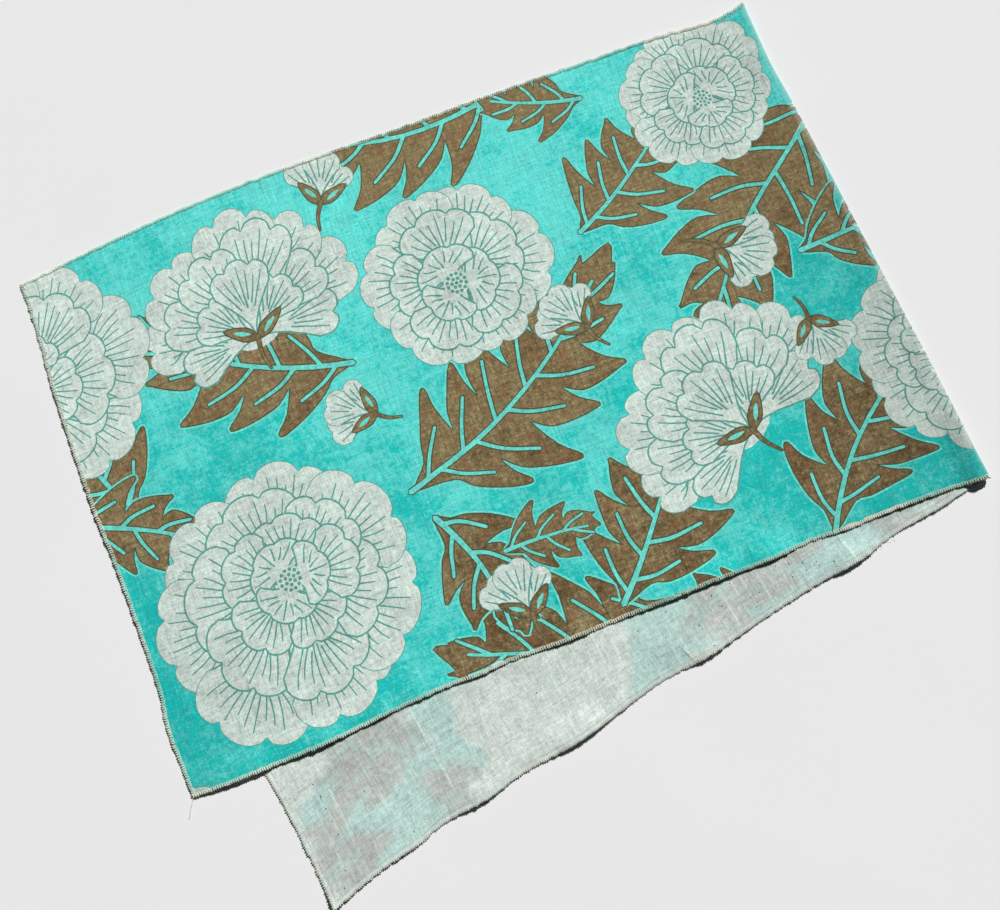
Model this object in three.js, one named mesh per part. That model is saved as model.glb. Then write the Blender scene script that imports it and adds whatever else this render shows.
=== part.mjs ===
// A cotton hand towel: one long rectangle of thin cloth, folded once near its middle and laid flat.
// Millimetres, +Z up. The upper stretch lies face up, and its long edges run along X. The lower
// stretch lies wrong side up beneath it, turned about the fold, so its front edge shows as a wedge.
// "End" is the free end of a stretch, "fold" is where the two meet, "front" is -Y and "back" is +Y.

import * as THREE from 'three';

// ---- driving dimensions -------------------------------------------------------------------------

const CLOTH = { length: 1000, width: 340, wall: 1 };
const GAP = 0.3;

// Cloth in the upper stretch, from its free end to the fold, along the front and the back edge.
const UPPER_LENGTH = { front: 524, back: 492 };

// Corners of the upper stretch, and how far each long edge of the lower stretch turns from the X axis.
const UPPER_CORNERS = {
  endFront: { x: 0, y: 0 },
  endBack: { x: 4.5, y: 339 },
  foldBack: { x: 498.5, y: 342 },
  foldFront: { x: 523, y: 5.5 },
};
const LOWER_TURN_DEG = { front: 11.9, back: 11.0 };

// How far each edge strays outwards from the straight line between its corners.
// Long edges run from end to fold, the others from front to back.
const STRAY = {
  upperFront: [
    { at: 0, out: 0 }, { at: 0.05, out: 0.6 }, { at: 0.15, out: 0.3 }, { at: 0.2, out: -0.8 },
    { at: 0.25, out: -3 }, { at: 0.325, out: -4.6 }, { at: 0.365, out: -3.9 }, { at: 0.4, out: -4.8 },
    { at: 0.475, out: -3.3 }, { at: 0.54, out: -3.5 }, { at: 0.6, out: -3.3 }, { at: 0.65, out: -3.5 },
    { at: 0.7, out: -3 }, { at: 0.74, out: -3.1 }, { at: 0.78, out: -4.1 }, { at: 0.83, out: -2.7 },
    { at: 0.87, out: -3.2 }, { at: 0.95, out: -2 }, { at: 1, out: 0 },
  ],
  upperBack: [
    { at: 0, out: 0 }, { at: 0.08, out: 3.4 }, { at: 0.17, out: 6.8 }, { at: 0.28, out: 9 },
    { at: 0.4, out: 8.4 }, { at: 0.52, out: 6.2 }, { at: 0.64, out: 5 }, { at: 0.76, out: 2.6 },
    { at: 0.88, out: 0.2 }, { at: 0.955, out: -3 }, { at: 1, out: 0 },
  ],
  upperEnd: [
    { at: 0, out: 0 }, { at: 0.05, out: 0.8 }, { at: 0.13, out: 1.8 }, { at: 0.2, out: -1 },
    { at: 0.45, out: 0 }, { at: 0.55, out: 1.8 }, { at: 0.8, out: 1.5 }, { at: 0.92, out: -0.3 },
    { at: 1, out: 0 },
  ],
  lowerFront: [
    { at: 0, out: 0 }, { at: 0.05, out: -3.2 }, { at: 0.1, out: -4.8 }, { at: 0.135, out: -4.9 },
    { at: 0.175, out: -7 }, { at: 0.24, out: -5.1 }, { at: 0.29, out: -5.9 }, { at: 0.375, out: -3.6 },
    { at: 0.5, out: -5.9 }, { at: 0.575, out: -3.2 }, { at: 0.66, out: -3.8 }, { at: 0.74, out: -3.2 },
    { at: 0.81, out: -1.2 }, { at: 0.86, out: -2.8 }, { at: 0.93, out: -0.9 }, { at: 0.965, out: -0.9 },
    { at: 1, out: 0 },
  ],
  lowerBack: [{ at: 0, out: 0 }, { at: 1, out: 0 }],
  lowerEnd: [
    { at: 0, out: 0 }, { at: 0.1, out: -2.2 }, { at: 0.2, out: -3.8 }, { at: 0.5, out: -2 },
    { at: 1, out: 0 },
  ],
  fold: [
    { at: 0, out: 0 }, { at: 0.2, out: 1.1 }, { at: 0.5, out: 0 }, { at: 0.8, out: -1 },
    { at: 0.87, out: -1.9 }, { at: 1, out: 0 },
  ],
};

// Waves in the two free front edges: how high the edge lifts off what it lies on.
const LIFT = {
  upperFront: [
    { at: 0, up: 0.8 }, { at: 0.04, up: 2.5 }, { at: 0.09, up: 2.4 }, { at: 0.11, up: 0.9 },
    { at: 0.135, up: 2.4 }, { at: 0.16, up: 3.4 }, { at: 0.21, up: 0.9 }, { at: 0.235, up: 2.1 },
    { at: 0.26, up: 0.8 }, { at: 0.285, up: 1.9 }, { at: 0.33, up: 0.9 }, { at: 0.355, up: 1.7 },
    { at: 0.4, up: 0.3 }, { at: 0.44, up: 0.6 }, { at: 0.48, up: 2.1 }, { at: 0.51, up: 0.3 },
    { at: 0.55, up: 1 }, { at: 0.6, up: 2.5 }, { at: 0.67, up: 2.2 }, { at: 0.7, up: 0.9 },
    { at: 0.725, up: 2.8 }, { at: 0.77, up: 0.1 }, { at: 0.82, up: 0.8 }, { at: 0.845, up: 0.1 },
    { at: 0.87, up: 1.2 }, { at: 0.93, up: 1.4 }, { at: 1, up: 0 },
  ],
  lowerFront: [
    { at: 0, up: 3.2 }, { at: 0.04, up: 1.8 }, { at: 0.08, up: 1.2 }, { at: 0.11, up: 2.2 },
    { at: 0.16, up: 0.3 }, { at: 0.19, up: 1.3 }, { at: 0.23, up: 3.8 }, { at: 0.27, up: 1.3 },
    { at: 0.3, up: 0.6 }, { at: 0.33, up: 1.4 }, { at: 0.38, up: 4.8 }, { at: 0.43, up: 2 },
    { at: 0.49, up: 0.2 }, { at: 0.54, up: 0.8 }, { at: 0.57, up: 4 }, { at: 0.605, up: 1.9 },
    { at: 0.65, up: 0.9 }, { at: 0.72, up: 1.3 }, { at: 0.76, up: 1.8 }, { at: 0.79, up: 4.6 },
    { at: 0.82, up: 2.2 }, { at: 0.84, up: 0.2 }, { at: 0.88, up: 1.1 }, { at: 0.93, up: 1.5 },
    { at: 1, up: 0 },
  ],
};
const LIFT_REACH = 22;        // from the edge to where the cloth lies flat again
const LIFT_SHARE = 0.9;       // of the wedge that shows, where that is narrower than the reach

// The fold isn't pressed: its outside height from front to back, and how far in from it the
// upper stretch stays raised.
const FOLD_HEIGHT = [
  { at: 0, high: 8.4 }, { at: 0.05, high: 5.6 }, { at: 0.15, high: 3.6 }, { at: 0.35, high: 2.8 },
  { at: 0.6, high: 2.6 }, { at: 0.85, high: 2.8 }, { at: 1, high: 3.4 },
];
const PUFF_REACH = 15;
const FOLD_ARM = 12;          // the fold piece's depth, from its outermost line

// Past the edge of the lower stretch, the upper one stays up for a while and then eases to the table.
const EASE = { start: 18, end: 46 };

// Mesh columns and rows. Rows stand closer near the front edge, where the waves are.
const COLUMNS = 72;
const EDGE_ROWS = [0, 3, 7, 13];
const UPPER_ROWS = 18;
const LOWER_ROWS = 8;
const FOLD_ROWS = 22;
const ARM_STEPS = 3;
const BEND_STEPS = 10;

const COLOURS = { printed: '#3cc9bf', wrongSide: '#cdd6cf' };

// ---- helpers ------------------------------------------------------------------------------------

/** The value of a table's column at a fraction, on a smooth curve through its rows. */
function smoothValue(rows, at, column) {
  const last = rows.length - 1;
  let i = 0;
  while (i < last - 1 && rows[i + 1].at <= at) i += 1;
  const slope = (k) => {
    const before = rows[Math.max(k - 1, 0)];
    const after = rows[Math.min(k + 1, last)];
    return (after[column] - before[column]) / (after.at - before.at);
  };
  const span = rows[i + 1].at - rows[i].at;
  const t = THREE.MathUtils.clamp((at - rows[i].at) / span, 0, 1);
  const ease = t * t * (3 - 2 * t);
  const leave = t * (1 - t) * (1 - t) * span * slope(i);
  const arrive = t * t * (t - 1) * span * slope(i + 1);
  return rows[i][column] * (1 - ease) + rows[i + 1][column] * ease + leave + arrive;
}

/** 1 at zero or less, 0 at `reach` or more, smooth between. */
function fade(distance, reach) {
  const t = THREE.MathUtils.clamp(distance / reach, 0, 1);
  return (1 + Math.cos(Math.PI * t)) / 2;
}

const vector = ({ x, y }) => new THREE.Vector2(x, y);

/** The point that lies `length` from `corner`, turned by `degrees` from the -X direction. */
function alongTurned(corner, length, degrees) {
  const turn = THREE.MathUtils.degToRad(180 + degrees);
  return new THREE.Vector2(Math.cos(turn), Math.sin(turn)).multiplyScalar(length).add(vector(corner));
}

/** Unit vector to the right of the way from one point to another. */
function rightOf(from, to) {
  const way = to.clone().sub(from).normalize();
  return new THREE.Vector2(way.y, -way.x);
}

// ---- the two stretches, in plan ------------------------------------------------------------------

/** Plan of one stretch: `along` runs from end to fold, `across` from front to back, both 0 to 1. */
class Stretch {
  constructor(corners, stray) {
    this.corners = corners;
    this.stray = stray;
    const { endFront, endBack, foldFront, foldBack } = corners;
    this.outward = {
      front: rightOf(endFront, foldFront),
      back: rightOf(foldBack, endBack),
      end: rightOf(endBack, endFront),
      fold: rightOf(foldFront, foldBack),
    };
  }

  plan(along, across) {
    const { endFront, endBack, foldFront, foldBack } = this.corners;
    const front = endFront.clone().lerp(foldFront, along);
    const back = endBack.clone().lerp(foldBack, along);
    const point = front.lerp(back, across);
    const push = (side, at, share) => {
      const out = smoothValue(this.stray[side], at, 'out') * share;
      point.addScaledVector(this.outward[side], out);
    };
    push('front', along, 1 - across);
    push('back', along, across);
    push('end', across, 1 - along);
    push('fold', across, along);
    return point;
  }

  /** How far a point in plan lies inside the hidden back edge and the free end. */
  depthInside(point) {
    const fromBack = point.clone().sub(this.corners.foldBack).dot(this.outward.back);
    const fromEnd = point.clone().sub(this.corners.endBack).dot(this.outward.end);
    return -Math.max(fromBack, fromEnd);
  }
}

const upperPlan = {
  endFront: vector(UPPER_CORNERS.endFront),
  endBack: vector(UPPER_CORNERS.endBack),
  foldFront: vector(UPPER_CORNERS.foldFront),
  foldBack: vector(UPPER_CORNERS.foldBack),
};
const lowerPlan = {
  endFront: alongTurned(upperPlan.foldFront, CLOTH.length - UPPER_LENGTH.front, LOWER_TURN_DEG.front),
  endBack: alongTurned(upperPlan.foldBack, CLOTH.length - UPPER_LENGTH.back, LOWER_TURN_DEG.back),
  foldFront: upperPlan.foldFront,
  foldBack: upperPlan.foldBack,
};
const upper = new Stretch(upperPlan, {
  front: STRAY.upperFront, back: STRAY.upperBack, end: STRAY.upperEnd, fold: STRAY.fold,
});
const lower = new Stretch(lowerPlan, {
  front: STRAY.lowerFront, back: STRAY.lowerBack, end: STRAY.lowerEnd, fold: STRAY.fold,
});

const upperLength = (across) => THREE.MathUtils.lerp(UPPER_LENGTH.front, UPPER_LENGTH.back, across);
const lowerLength = (across) => CLOTH.length - upperLength(across);

// ---- heights of the cloth's underside -------------------------------------------------------------

/** Lift of a wavy front edge, at a fraction along it and a distance in from it. */
function edgeLift(rows, along, inFromEdge, reach) {
  return Math.max(smoothValue(rows, along, 'up'), 0) * fade(inFromEdge, reach);
}

/** The wedge of the lower stretch that shows is this wide at a fraction along its front edge. */
function wedgeWidth(along) {
  const atEnd = -lower.corners.endFront.y;
  return atEnd * (1 - along);
}

function lowerUnderside(along, across) {
  const reach = Math.min(LIFT_REACH, Math.max(LIFT_SHARE * wedgeWidth(along), 1));
  return edgeLift(LIFT.lowerFront, along, across * CLOTH.width, reach);
}

function upperUnderside(along, across) {
  const onLower = CLOTH.wall + GAP;
  const depth = lower.depthInside(upper.plan(along, across));
  const rest = onLower * fade(-depth - EASE.start, EASE.end - EASE.start);
  const lift = edgeLift(LIFT.upperFront, along, across * CLOTH.width, LIFT_REACH);
  const high = smoothValue(FOLD_HEIGHT, across, 'high');
  const fromBend = (1 - along) * upperLength(across) - high / 2;
  const puff = (high - 2 * CLOTH.wall - GAP) * fade(fromBend, PUFF_REACH);
  return rest + lift + puff;
}

/** Height of the wall over its underside, so that it is as thick on a slope as where it lies flat. */
function wallHeight(underside, clothLength, along, across) {
  const step = 0.5;
  const alongStep = step / clothLength(across);
  const acrossStep = step / CLOTH.width;
  const ahead = underside(along + alongStep, across) - underside(along - alongStep, across);
  const aside = underside(along, across + acrossStep) - underside(along, across - acrossStep);
  return CLOTH.wall * Math.hypot(1, ahead / (2 * step), aside / (2 * step));
}

// ---- solids ---------------------------------------------------------------------------------------

/** Closed wall between an outer and an inner sheet of points, both given as [column][row]. */
function wallBetween(outer, inner) {
  const columns = outer.length - 1;
  const rows = outer[0].length - 1;
  const positions = [];
  for (const sheet of [outer, inner]) {
    for (const column of sheet) column.forEach((p) => positions.push(p.x, p.y, p.z));
  }
  const sheetSize = (columns + 1) * (rows + 1);
  const onOuter = (i, j) => i * (rows + 1) + j;
  const onInner = (i, j) => sheetSize + onOuter(i, j);
  const indices = [];
  const quad = (a, b, c, d) => indices.push(a, b, c, a, c, d);
  for (let i = 0; i < columns; i += 1) {
    for (let j = 0; j < rows; j += 1) {
      quad(onOuter(i, j), onOuter(i + 1, j), onOuter(i + 1, j + 1), onOuter(i, j + 1));
      quad(onInner(i, j), onInner(i, j + 1), onInner(i + 1, j + 1), onInner(i + 1, j));
    }
    quad(onInner(i, 0), onInner(i + 1, 0), onOuter(i + 1, 0), onOuter(i, 0));
    quad(onInner(i + 1, rows), onInner(i, rows), onOuter(i, rows), onOuter(i + 1, rows));
  }
  for (let j = 0; j < rows; j += 1) {
    quad(onInner(0, j + 1), onInner(0, j), onOuter(0, j), onOuter(0, j + 1));
    quad(onInner(columns, j), onInner(columns, j + 1), onOuter(columns, j + 1), onOuter(columns, j));
  }
  const geometry = new THREE.BufferGeometry();
  geometry.setAttribute('position', new THREE.Float32BufferAttribute(positions, 3));
  geometry.setIndex(indices);
  geometry.computeVertexNormals();
  return geometry;
}

/** Row places from front to back: the edge rows, then even steps. */
function rowPlaces(evenRows) {
  const edge = EDGE_ROWS.map((distance) => distance / CLOTH.width);
  const start = edge[edge.length - 1];
  const even = Array.from({ length: evenRows }, (_, k) => start + ((1 - start) * (k + 1)) / evenRows);
  return [...edge, ...even];
}

/** A stretch of the cloth from its free end to the seam with the fold piece. */
function stretchWall(stretch, clothLength, underside, evenRows) {
  const outer = [];
  const inner = [];
  for (let i = 0; i <= COLUMNS; i += 1) {
    const points = rowPlaces(evenRows).map((across) => {
      const toSeam = 1 - (FOLD_ARM + GAP) / clothLength(across);
      const along = (i / COLUMNS) * toSeam;
      const { x, y } = stretch.plan(along, across);
      const under = new THREE.Vector3(x, y, underside(along, across));
      const wall = wallHeight(underside, clothLength, along, across);
      return { under, over: under.clone().setZ(under.z + wall) };
    });
    inner.push(points.map(({ under }) => under));
    outer.push(points.map(({ over }) => over));
  }
  return wallBetween(outer, inner);
}

/** The bend: an arm of the upper stretch, half a round, and an arm of the lower stretch. */
function foldWall() {
  const outer = [];
  const inner = [];
  const places = rowPlaces(FOLD_ROWS);
  const radius = (across) => smoothValue(FOLD_HEIGHT, across, 'high') / 2;
  const inwards = (stretch, clothLength, distance, across) => (
    stretch.plan(1 - distance / clothLength(across), across)
  );
  const addColumn = (outerPoint, innerPoint) => {
    outer.push(places.map(outerPoint));
    inner.push(places.map(innerPoint));
  };
  for (let k = 0; k < ARM_STEPS; k += 1) {
    const place = (raised) => (across) => {
      const distance = THREE.MathUtils.lerp(FOLD_ARM, radius(across), k / ARM_STEPS);
      const { x, y } = inwards(upper, upperLength, distance, across);
      const along = 1 - distance / upperLength(across);
      const wall = raised ? wallHeight(upperUnderside, upperLength, along, across) : 0;
      return new THREE.Vector3(x, y, upperUnderside(along, across) + wall);
    };
    addColumn(place(true), place(false));
  }
  for (let k = 0; k <= BEND_STEPS; k += 1) {
    const angle = Math.PI * (0.5 - k / BEND_STEPS);
    const place = (thinner) => (across) => {
      const middle = radius(across);
      const reach = middle - thinner;
      const distance = middle - reach * Math.cos(angle);
      const onUpper = inwards(upper, upperLength, distance, across);
      const onLower = inwards(lower, lowerLength, distance, across);
      const { x, y } = onUpper.lerp(onLower, (1 - Math.sin(angle)) / 2);
      return new THREE.Vector3(x, y, middle + reach * Math.sin(angle));
    };
    addColumn(place(0), place(CLOTH.wall));
  }
  for (let k = 1; k <= ARM_STEPS; k += 1) {
    const place = (raised) => (across) => {
      const distance = THREE.MathUtils.lerp(radius(across), FOLD_ARM, k / ARM_STEPS);
      const { x, y } = inwards(lower, lowerLength, distance, across);
      const along = 1 - distance / lowerLength(across);
      const wall = raised ? wallHeight(lowerUnderside, lowerLength, along, across) : 0;
      return new THREE.Vector3(x, y, lowerUnderside(along, across) + wall);
    };
    addColumn(place(false), place(true));
  }
  return wallBetween(outer, inner);
}

// ---- the towel ------------------------------------------------------------------------------------

function cottonMesh(name, geometry, colour) {
  const material = new THREE.MeshStandardMaterial({ color: colour, roughness: 0.9, metalness: 0 });
  const mesh = new THREE.Mesh(geometry, material);
  mesh.name = name;
  return mesh;
}

const towel = new THREE.Group();
towel.add(
  cottonMesh('upper_stretch', stretchWall(upper, upperLength, upperUnderside, UPPER_ROWS), COLOURS.printed),
  cottonMesh('fold', foldWall(), COLOURS.printed),
  cottonMesh('lower_stretch', stretchWall(lower, lowerLength, lowerUnderside, LOWER_ROWS), COLOURS.wrongSide),
);

// The origin is under the middle of the box that holds the towel, on the table.
const middle = new THREE.Box3().setFromObject(towel).getCenter(new THREE.Vector3());
towel.position.set(-middle.x, -middle.y, 0);

export default towel;
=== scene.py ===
"""A printed cotton hand towel, overlocked all round, folded once and laid flat.

The towel is one cloth of 340 by 1000 mm. A place on it is (s, t): s runs from its upper end to its
lower end, t from its front edge to its back edge. The print is drawn in that plane, and cloth_point
then lays it on the form of the solids. Sizes are millimetres until a mesh is made, which is in metres.
"""

import math
import random

import bpy
import numpy as np
from bpy.props import FloatProperty, FloatVectorProperty, PointerProperty
from mathutils import Matrix, Vector
from mathutils.geometry import delaunay_2d_cdt
from mathutils.kdtree import KDTree


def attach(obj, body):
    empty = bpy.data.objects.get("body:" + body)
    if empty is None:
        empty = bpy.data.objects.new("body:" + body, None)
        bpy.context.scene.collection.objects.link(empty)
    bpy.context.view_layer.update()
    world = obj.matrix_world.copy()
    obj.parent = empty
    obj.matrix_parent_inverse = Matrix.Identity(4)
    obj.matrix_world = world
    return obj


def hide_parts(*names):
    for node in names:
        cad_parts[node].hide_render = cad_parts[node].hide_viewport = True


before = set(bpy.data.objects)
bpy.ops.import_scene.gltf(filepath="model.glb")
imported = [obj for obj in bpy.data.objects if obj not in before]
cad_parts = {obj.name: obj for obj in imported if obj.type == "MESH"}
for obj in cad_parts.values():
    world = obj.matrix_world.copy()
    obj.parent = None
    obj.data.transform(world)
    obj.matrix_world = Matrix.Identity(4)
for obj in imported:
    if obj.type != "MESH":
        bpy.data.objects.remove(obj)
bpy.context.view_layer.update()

bl_info = {
    "name": "Folded tenugui",
    "version": (1, 0, 0),
    "blender": (4, 5, 0),
    "location": "View3D > Sidebar > Tenugui",
    "description": "Dresses the folded hand towel in printed lawn, overlocking and loose threads",
    "category": "Add Mesh",
}

MM = 0.001

# ---- the cloth's form: the same sizes as the solids ---------------------------------------------------

LENGTH = 1000.0
WIDTH = 340.0
UPPER_LENGTH = (524.0, 492.0)       # cloth in the upper stretch along its front and back edge
LOWER_TURN_DEG = (11.9, 11.0)       # turn of the lower stretch's front and back edge from the X axis
UPPER_CORNERS = {
    "end_front": (0.0, 0.0),
    "end_back": (4.5, 339.0),
    "fold_back": (498.5, 342.0),
    "fold_front": (523.0, 5.5),
}

# Rows are (place along the edge from 0 to 1, distance that it strays outwards).
STRAY = {
    "upper_front": ((0, 0), (0.05, 0.6), (0.15, 0.3), (0.2, -0.8), (0.25, -3), (0.325, -4.6),
                    (0.365, -3.9), (0.4, -4.8), (0.475, -3.3), (0.54, -3.5), (0.6, -3.3), (0.65, -3.5),
                    (0.7, -3), (0.74, -3.1), (0.78, -4.1), (0.83, -2.7), (0.87, -3.2), (0.95, -2), (1, 0)),
    "upper_back": ((0, 0), (0.08, 3.4), (0.17, 6.8), (0.28, 9), (0.4, 8.4), (0.52, 6.2), (0.64, 5),
                   (0.76, 2.6), (0.88, 0.2), (0.955, -3), (1, 0)),
    "upper_end": ((0, 0), (0.05, 0.8), (0.13, 1.8), (0.2, -1), (0.45, 0), (0.55, 1.8), (0.8, 1.5),
                  (0.92, -0.3), (1, 0)),
    "lower_front": ((0, 0), (0.05, -3.2), (0.1, -4.8), (0.135, -4.9), (0.175, -7), (0.24, -5.1),
                    (0.29, -5.9), (0.375, -3.6), (0.5, -5.9), (0.575, -3.2), (0.66, -3.8), (0.74, -3.2),
                    (0.81, -1.2), (0.86, -2.8), (0.93, -0.9), (0.965, -0.9), (1, 0)),
    "lower_back": ((0, 0), (1, 0)),
    "lower_end": ((0, 0), (0.1, -2.2), (0.2, -3.8), (0.5, -2), (1, 0)),
    "fold": ((0, 0), (0.2, 1.1), (0.5, 0), (0.8, -1), (0.87, -1.9), (1, 0)),
}
# Rows are (place along the edge, height of the wave there).
LIFT = {
    "upper_front": ((0, 0.8), (0.04, 2.5), (0.09, 2.4), (0.11, 0.9), (0.135, 2.4), (0.16, 3.4),
                    (0.21, 0.9), (0.235, 2.1), (0.26, 0.8), (0.285, 1.9), (0.33, 0.9), (0.355, 1.7),
                    (0.4, 0.3), (0.44, 0.6), (0.48, 2.1), (0.51, 0.3), (0.55, 1), (0.6, 2.5), (0.67, 2.2),
                    (0.7, 0.9), (0.725, 2.8), (0.77, 0.1), (0.82, 0.8), (0.845, 0.1), (0.87, 1.2),
                    (0.93, 1.4), (1, 0)),
    "lower_front": ((0, 3.2), (0.04, 1.8), (0.08, 1.2), (0.11, 2.2), (0.16, 0.3), (0.19, 1.3), (0.23, 3.8),
                    (0.27, 1.3), (0.3, 0.6), (0.33, 1.4), (0.38, 4.8), (0.43, 2), (0.49, 0.2), (0.54, 0.8),
                    (0.57, 4), (0.605, 1.9), (0.65, 0.9), (0.72, 1.3), (0.76, 1.8), (0.79, 4.6),
                    (0.82, 2.2), (0.84, 0.2), (0.88, 1.1), (0.93, 1.5), (1, 0)),
}
LIFT_REACH = 22.0
LIFT_SHARE = 0.9
# Rows are (place along the fold from front to back, height of the fold).
FOLD_HEIGHT = ((0, 8.4), (0.05, 5.6), (0.15, 3.6), (0.35, 2.8), (0.6, 2.6), (0.85, 2.8), (1, 3.4))
PUFF_REACH = 15.0
EASE_START = 18.0
EASE_END = 46.0
STACKED = 1.3                       # height of the upper stretch's underside where it lies on the lower

THICK = 0.5                         # of the shell
OFF_TABLE = 0.25                    # the cloth rests on its edging, a thread's thickness up
FOLD_SPARE = 0.2                    # the shell's bend is this much lower than the solid's

# ---- creases ------------------------------------------------------------------------------------------

# Listed creases. Rows are (s, t, turn in degrees from the s direction, length, width, height).
SHARP_CREASES = (
    (406, 292, -56, 22, 0.8, 0.30), (461, 279, 20, 26, 0.8, -0.34), (491, 290, -28, 26, 0.9, 0.30),
    (118, 51, -3, 22, 0.8, -0.32), (77, 23, 19, 34, 0.9, -0.34), (126, 13, -73, 20, 0.9, 0.32),
    (385, 45, -46, 22, 0.8, -0.30), (483, 45, -30, 22, 0.8, 0.30), (449, 31, 14, 24, 0.8, -0.34),
    (212, 262, 12, 24, 0.8, -0.30), (300, 150, 62, 20, 0.8, 0.28), (36, 236, -40, 24, 0.8, -0.30),
    (740, 9, -104, 20, 0.9, 0.50), (623, 12, -93, 26, 1.0, 0.36), (600, 14, -70, 22, 0.9, 0.30),
    (656, 20, -85, 30, 1.0, 0.30), (940, 62, 84, 36, 1.0, 0.30), (868, 44, -72, 30, 1.0, 0.26),
)
SOFT_CREASES = (
    (478, 316, -63, 44, 3.4, 0.42), (454, 262, -35, 60, 5.0, 0.30), (492, 262, 70, 60, 4.0, 0.30),
    (18, 150, 84, 150, 4.0, 0.34), (60, 80, 30, 70, 6.0, -0.30), (120, 205, -20, 80, 6.0, 0.26),
    (236, 122, 18, 96, 6.5, -0.28), (330, 205, -12, 120, 7.0, 0.24), (402, 60, 70, 58, 4.5, 0.34),
    (300, 40, 86, 52, 4.0, -0.30), (210, 22, 75, 40, 4.0, 0.34), (150, 300, 8, 130, 7.5, -0.26),
    (260, 312, 78, 50, 4.5, 0.28), (498, 120, 88, 120, 6.0, 0.30), (478, 40, -60, 44, 4.0, 0.38),
    (505, 24, 30, 26, 3.0, 0.45), (440, 148, 14, 90, 6.0, -0.26), (92, 18, 60, 34, 4.0, 0.32),
    (715, 26, -80, 60, 3.0, 0.36), (749, 40, -81, 60, 3.4, 0.34), (908, 60, 70, 80, 3.6, 0.34),
    (972, 40, 60, 60, 3.2, 0.30), (800, 60, 4, 90, 5.0, 0.24), (860, 74, 10, 90, 5.0, 0.24),
)
SHARP_WIDTH = 1.5                   # narrower creases than this come to an edge
RELIEF_FROM_BEND = 10.0             # creases fade out this close to the fold
LOWEST = 0.02                       # nothing goes through the table
RUFFLE = 0.34                       # how far the edging's uneven pull moves the cut edge in and out
RUFFLE_RISE = 0.26                  # and up and down
RUFFLE_REACH = 6.0
END_CURL = 0.55                     # how far the two cut ends curl up off the table
END_RISE = 0.55                     # and ripple up and down
CURL_FREE = (50.0, 90.0)            # the lower end curls up to here from its front corner, then lies pressed
WEDGE_CREASES = 19                  # short creases running in from the lower stretch's front edge

# ---- inks and the print -------------------------------------------------------------------------------

GROUND, PETAL, LINE, LEAF, DARK, VEIN = range(6)
INK_NAMES = ("ground", "petal", "line", "leaf", "dark", "vein")
PEN = 1.15                          # width of the drawn lines
RIM_STEP = 3.2                      # between the points of a petal's rim
REPEAT = 560.0                      # length of the print's repeat
DROP = 150.0                        # how far each repeat is moved across

# Rows are (motif, s, t, turn in degrees, size). Later rows lie on earlier ones.
MOTIFS = (
    ("long_leaf", 192, 120, 14, 1.0),
    ("hooked_leaf", 178, 208, 168, 1.0),
    ("hooked_leaf", 318, 338, 192, 1.0),
    ("broad_leaf", 24, 168, 106, 1.0),
    ("broad_leaf", 288, 10, 44, 1.05),
    ("long_leaf", 524, 266, -152, 1.0),
    ("hooked_leaf", 424, 4, 62, 1.0),
    ("broad_leaf", 346, 236, 26, 0.9),
    ("small_leaf", 196, 96, -62, 1.1),
    ("small_leaf", 230, 64, 4, 0.74),
    ("small_leaf", 470, 176, 6, 1.0),
    ("small_leaf", 372, 318, 170, 0.8),
    ("small_leaf", 548, 330, -20, 1.0),
    ("open_blossom", 94, 88, 70, 1.0),
    ("round_blossom", 262, 238, -20, 1.0),
    ("cup_blossom", 398, 78, 122, 1.0),
    ("cup_blossom", 132, 244, 92, 0.95),
    ("round_blossom", 444, 296, 30, 0.84),
    ("open_blossom", 548, 86, 200, 0.9),
    ("bud", 232, 22, 96, 0.95),
    ("bud", 196, 310, 70, 0.9),
    ("bud", 420, 196, -34, 1.0),
    ("bud", 326, 176, 118, 0.9),
    ("bud", 184, 172, 150, 0.85),
    ("bud", 456, 132, -80, 0.85),
)

# Needle holes in the wrong side, painted as dark dots of shade. Rows are (s, t, turn in degrees, number,
# spacing).
NEEDLE_HOLES = (
    (978, 33, 90, 5, 8.5), (989, 6, 0, 1, 0), (984, 14, 0, 1, 0), (936, 8, 0, 1, 0), (952, 45, 0, 1, 0),
    (739, 36, 0, 1, 0), (725, 19, 0, 1, 0), (709, 30, 0, 1, 0), (707, 21, 0, 1, 0), (696, 30, 0, 1, 0),
    (689, 15, -90, 2, 6.5), (683, 15, 0, 1, 0), (723, 4, 0, 1, 0), (759, 34, 0, 1, 0), (746, 22, 0, 1, 0),
    (720, 38, 170, 2, 9.0), (674, 27, 205, 5, 8.6), (660, 12, 190, 4, 8.8), (628, 30, 160, 3, 9.4),
    (800, 60, 0, 1, 0), (832, 38, 0, 1, 0), (771, 52, 0, 1, 0),
)
HOLE_RADIUS = 0.46

GRID = 4.2                          # spacing of the mesh where nothing is drawn
EDGE_STEP = 2.5                     # and along the cut edges
EDGE_ROWS = (1.2, 2.6, 4.4)         # rows of points this far inside them
WEDGE_DEPTH = 130.0                 # of the lower stretch that may show, from its front edge
COARSE_GRID = 8.0                   # and where it lies hidden
WAVY = 30.0                         # the front edge's waves reach this far in
UNPRESSED = 452.0                   # past this place along it the cloth rises to the fold
BEND_ROWS = (-1.2, -1, -0.84, -0.68, -0.52, -0.36, -0.2, -0.07, 0.07, 0.2, 0.36, 0.52, 0.68, 0.84, 1, 1.2)

WRONG_SIDE_UV = 0.4                 # how far the wrong side lies across in the UV map

# ---- edging -------------------------------------------------------------------------------------------

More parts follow.
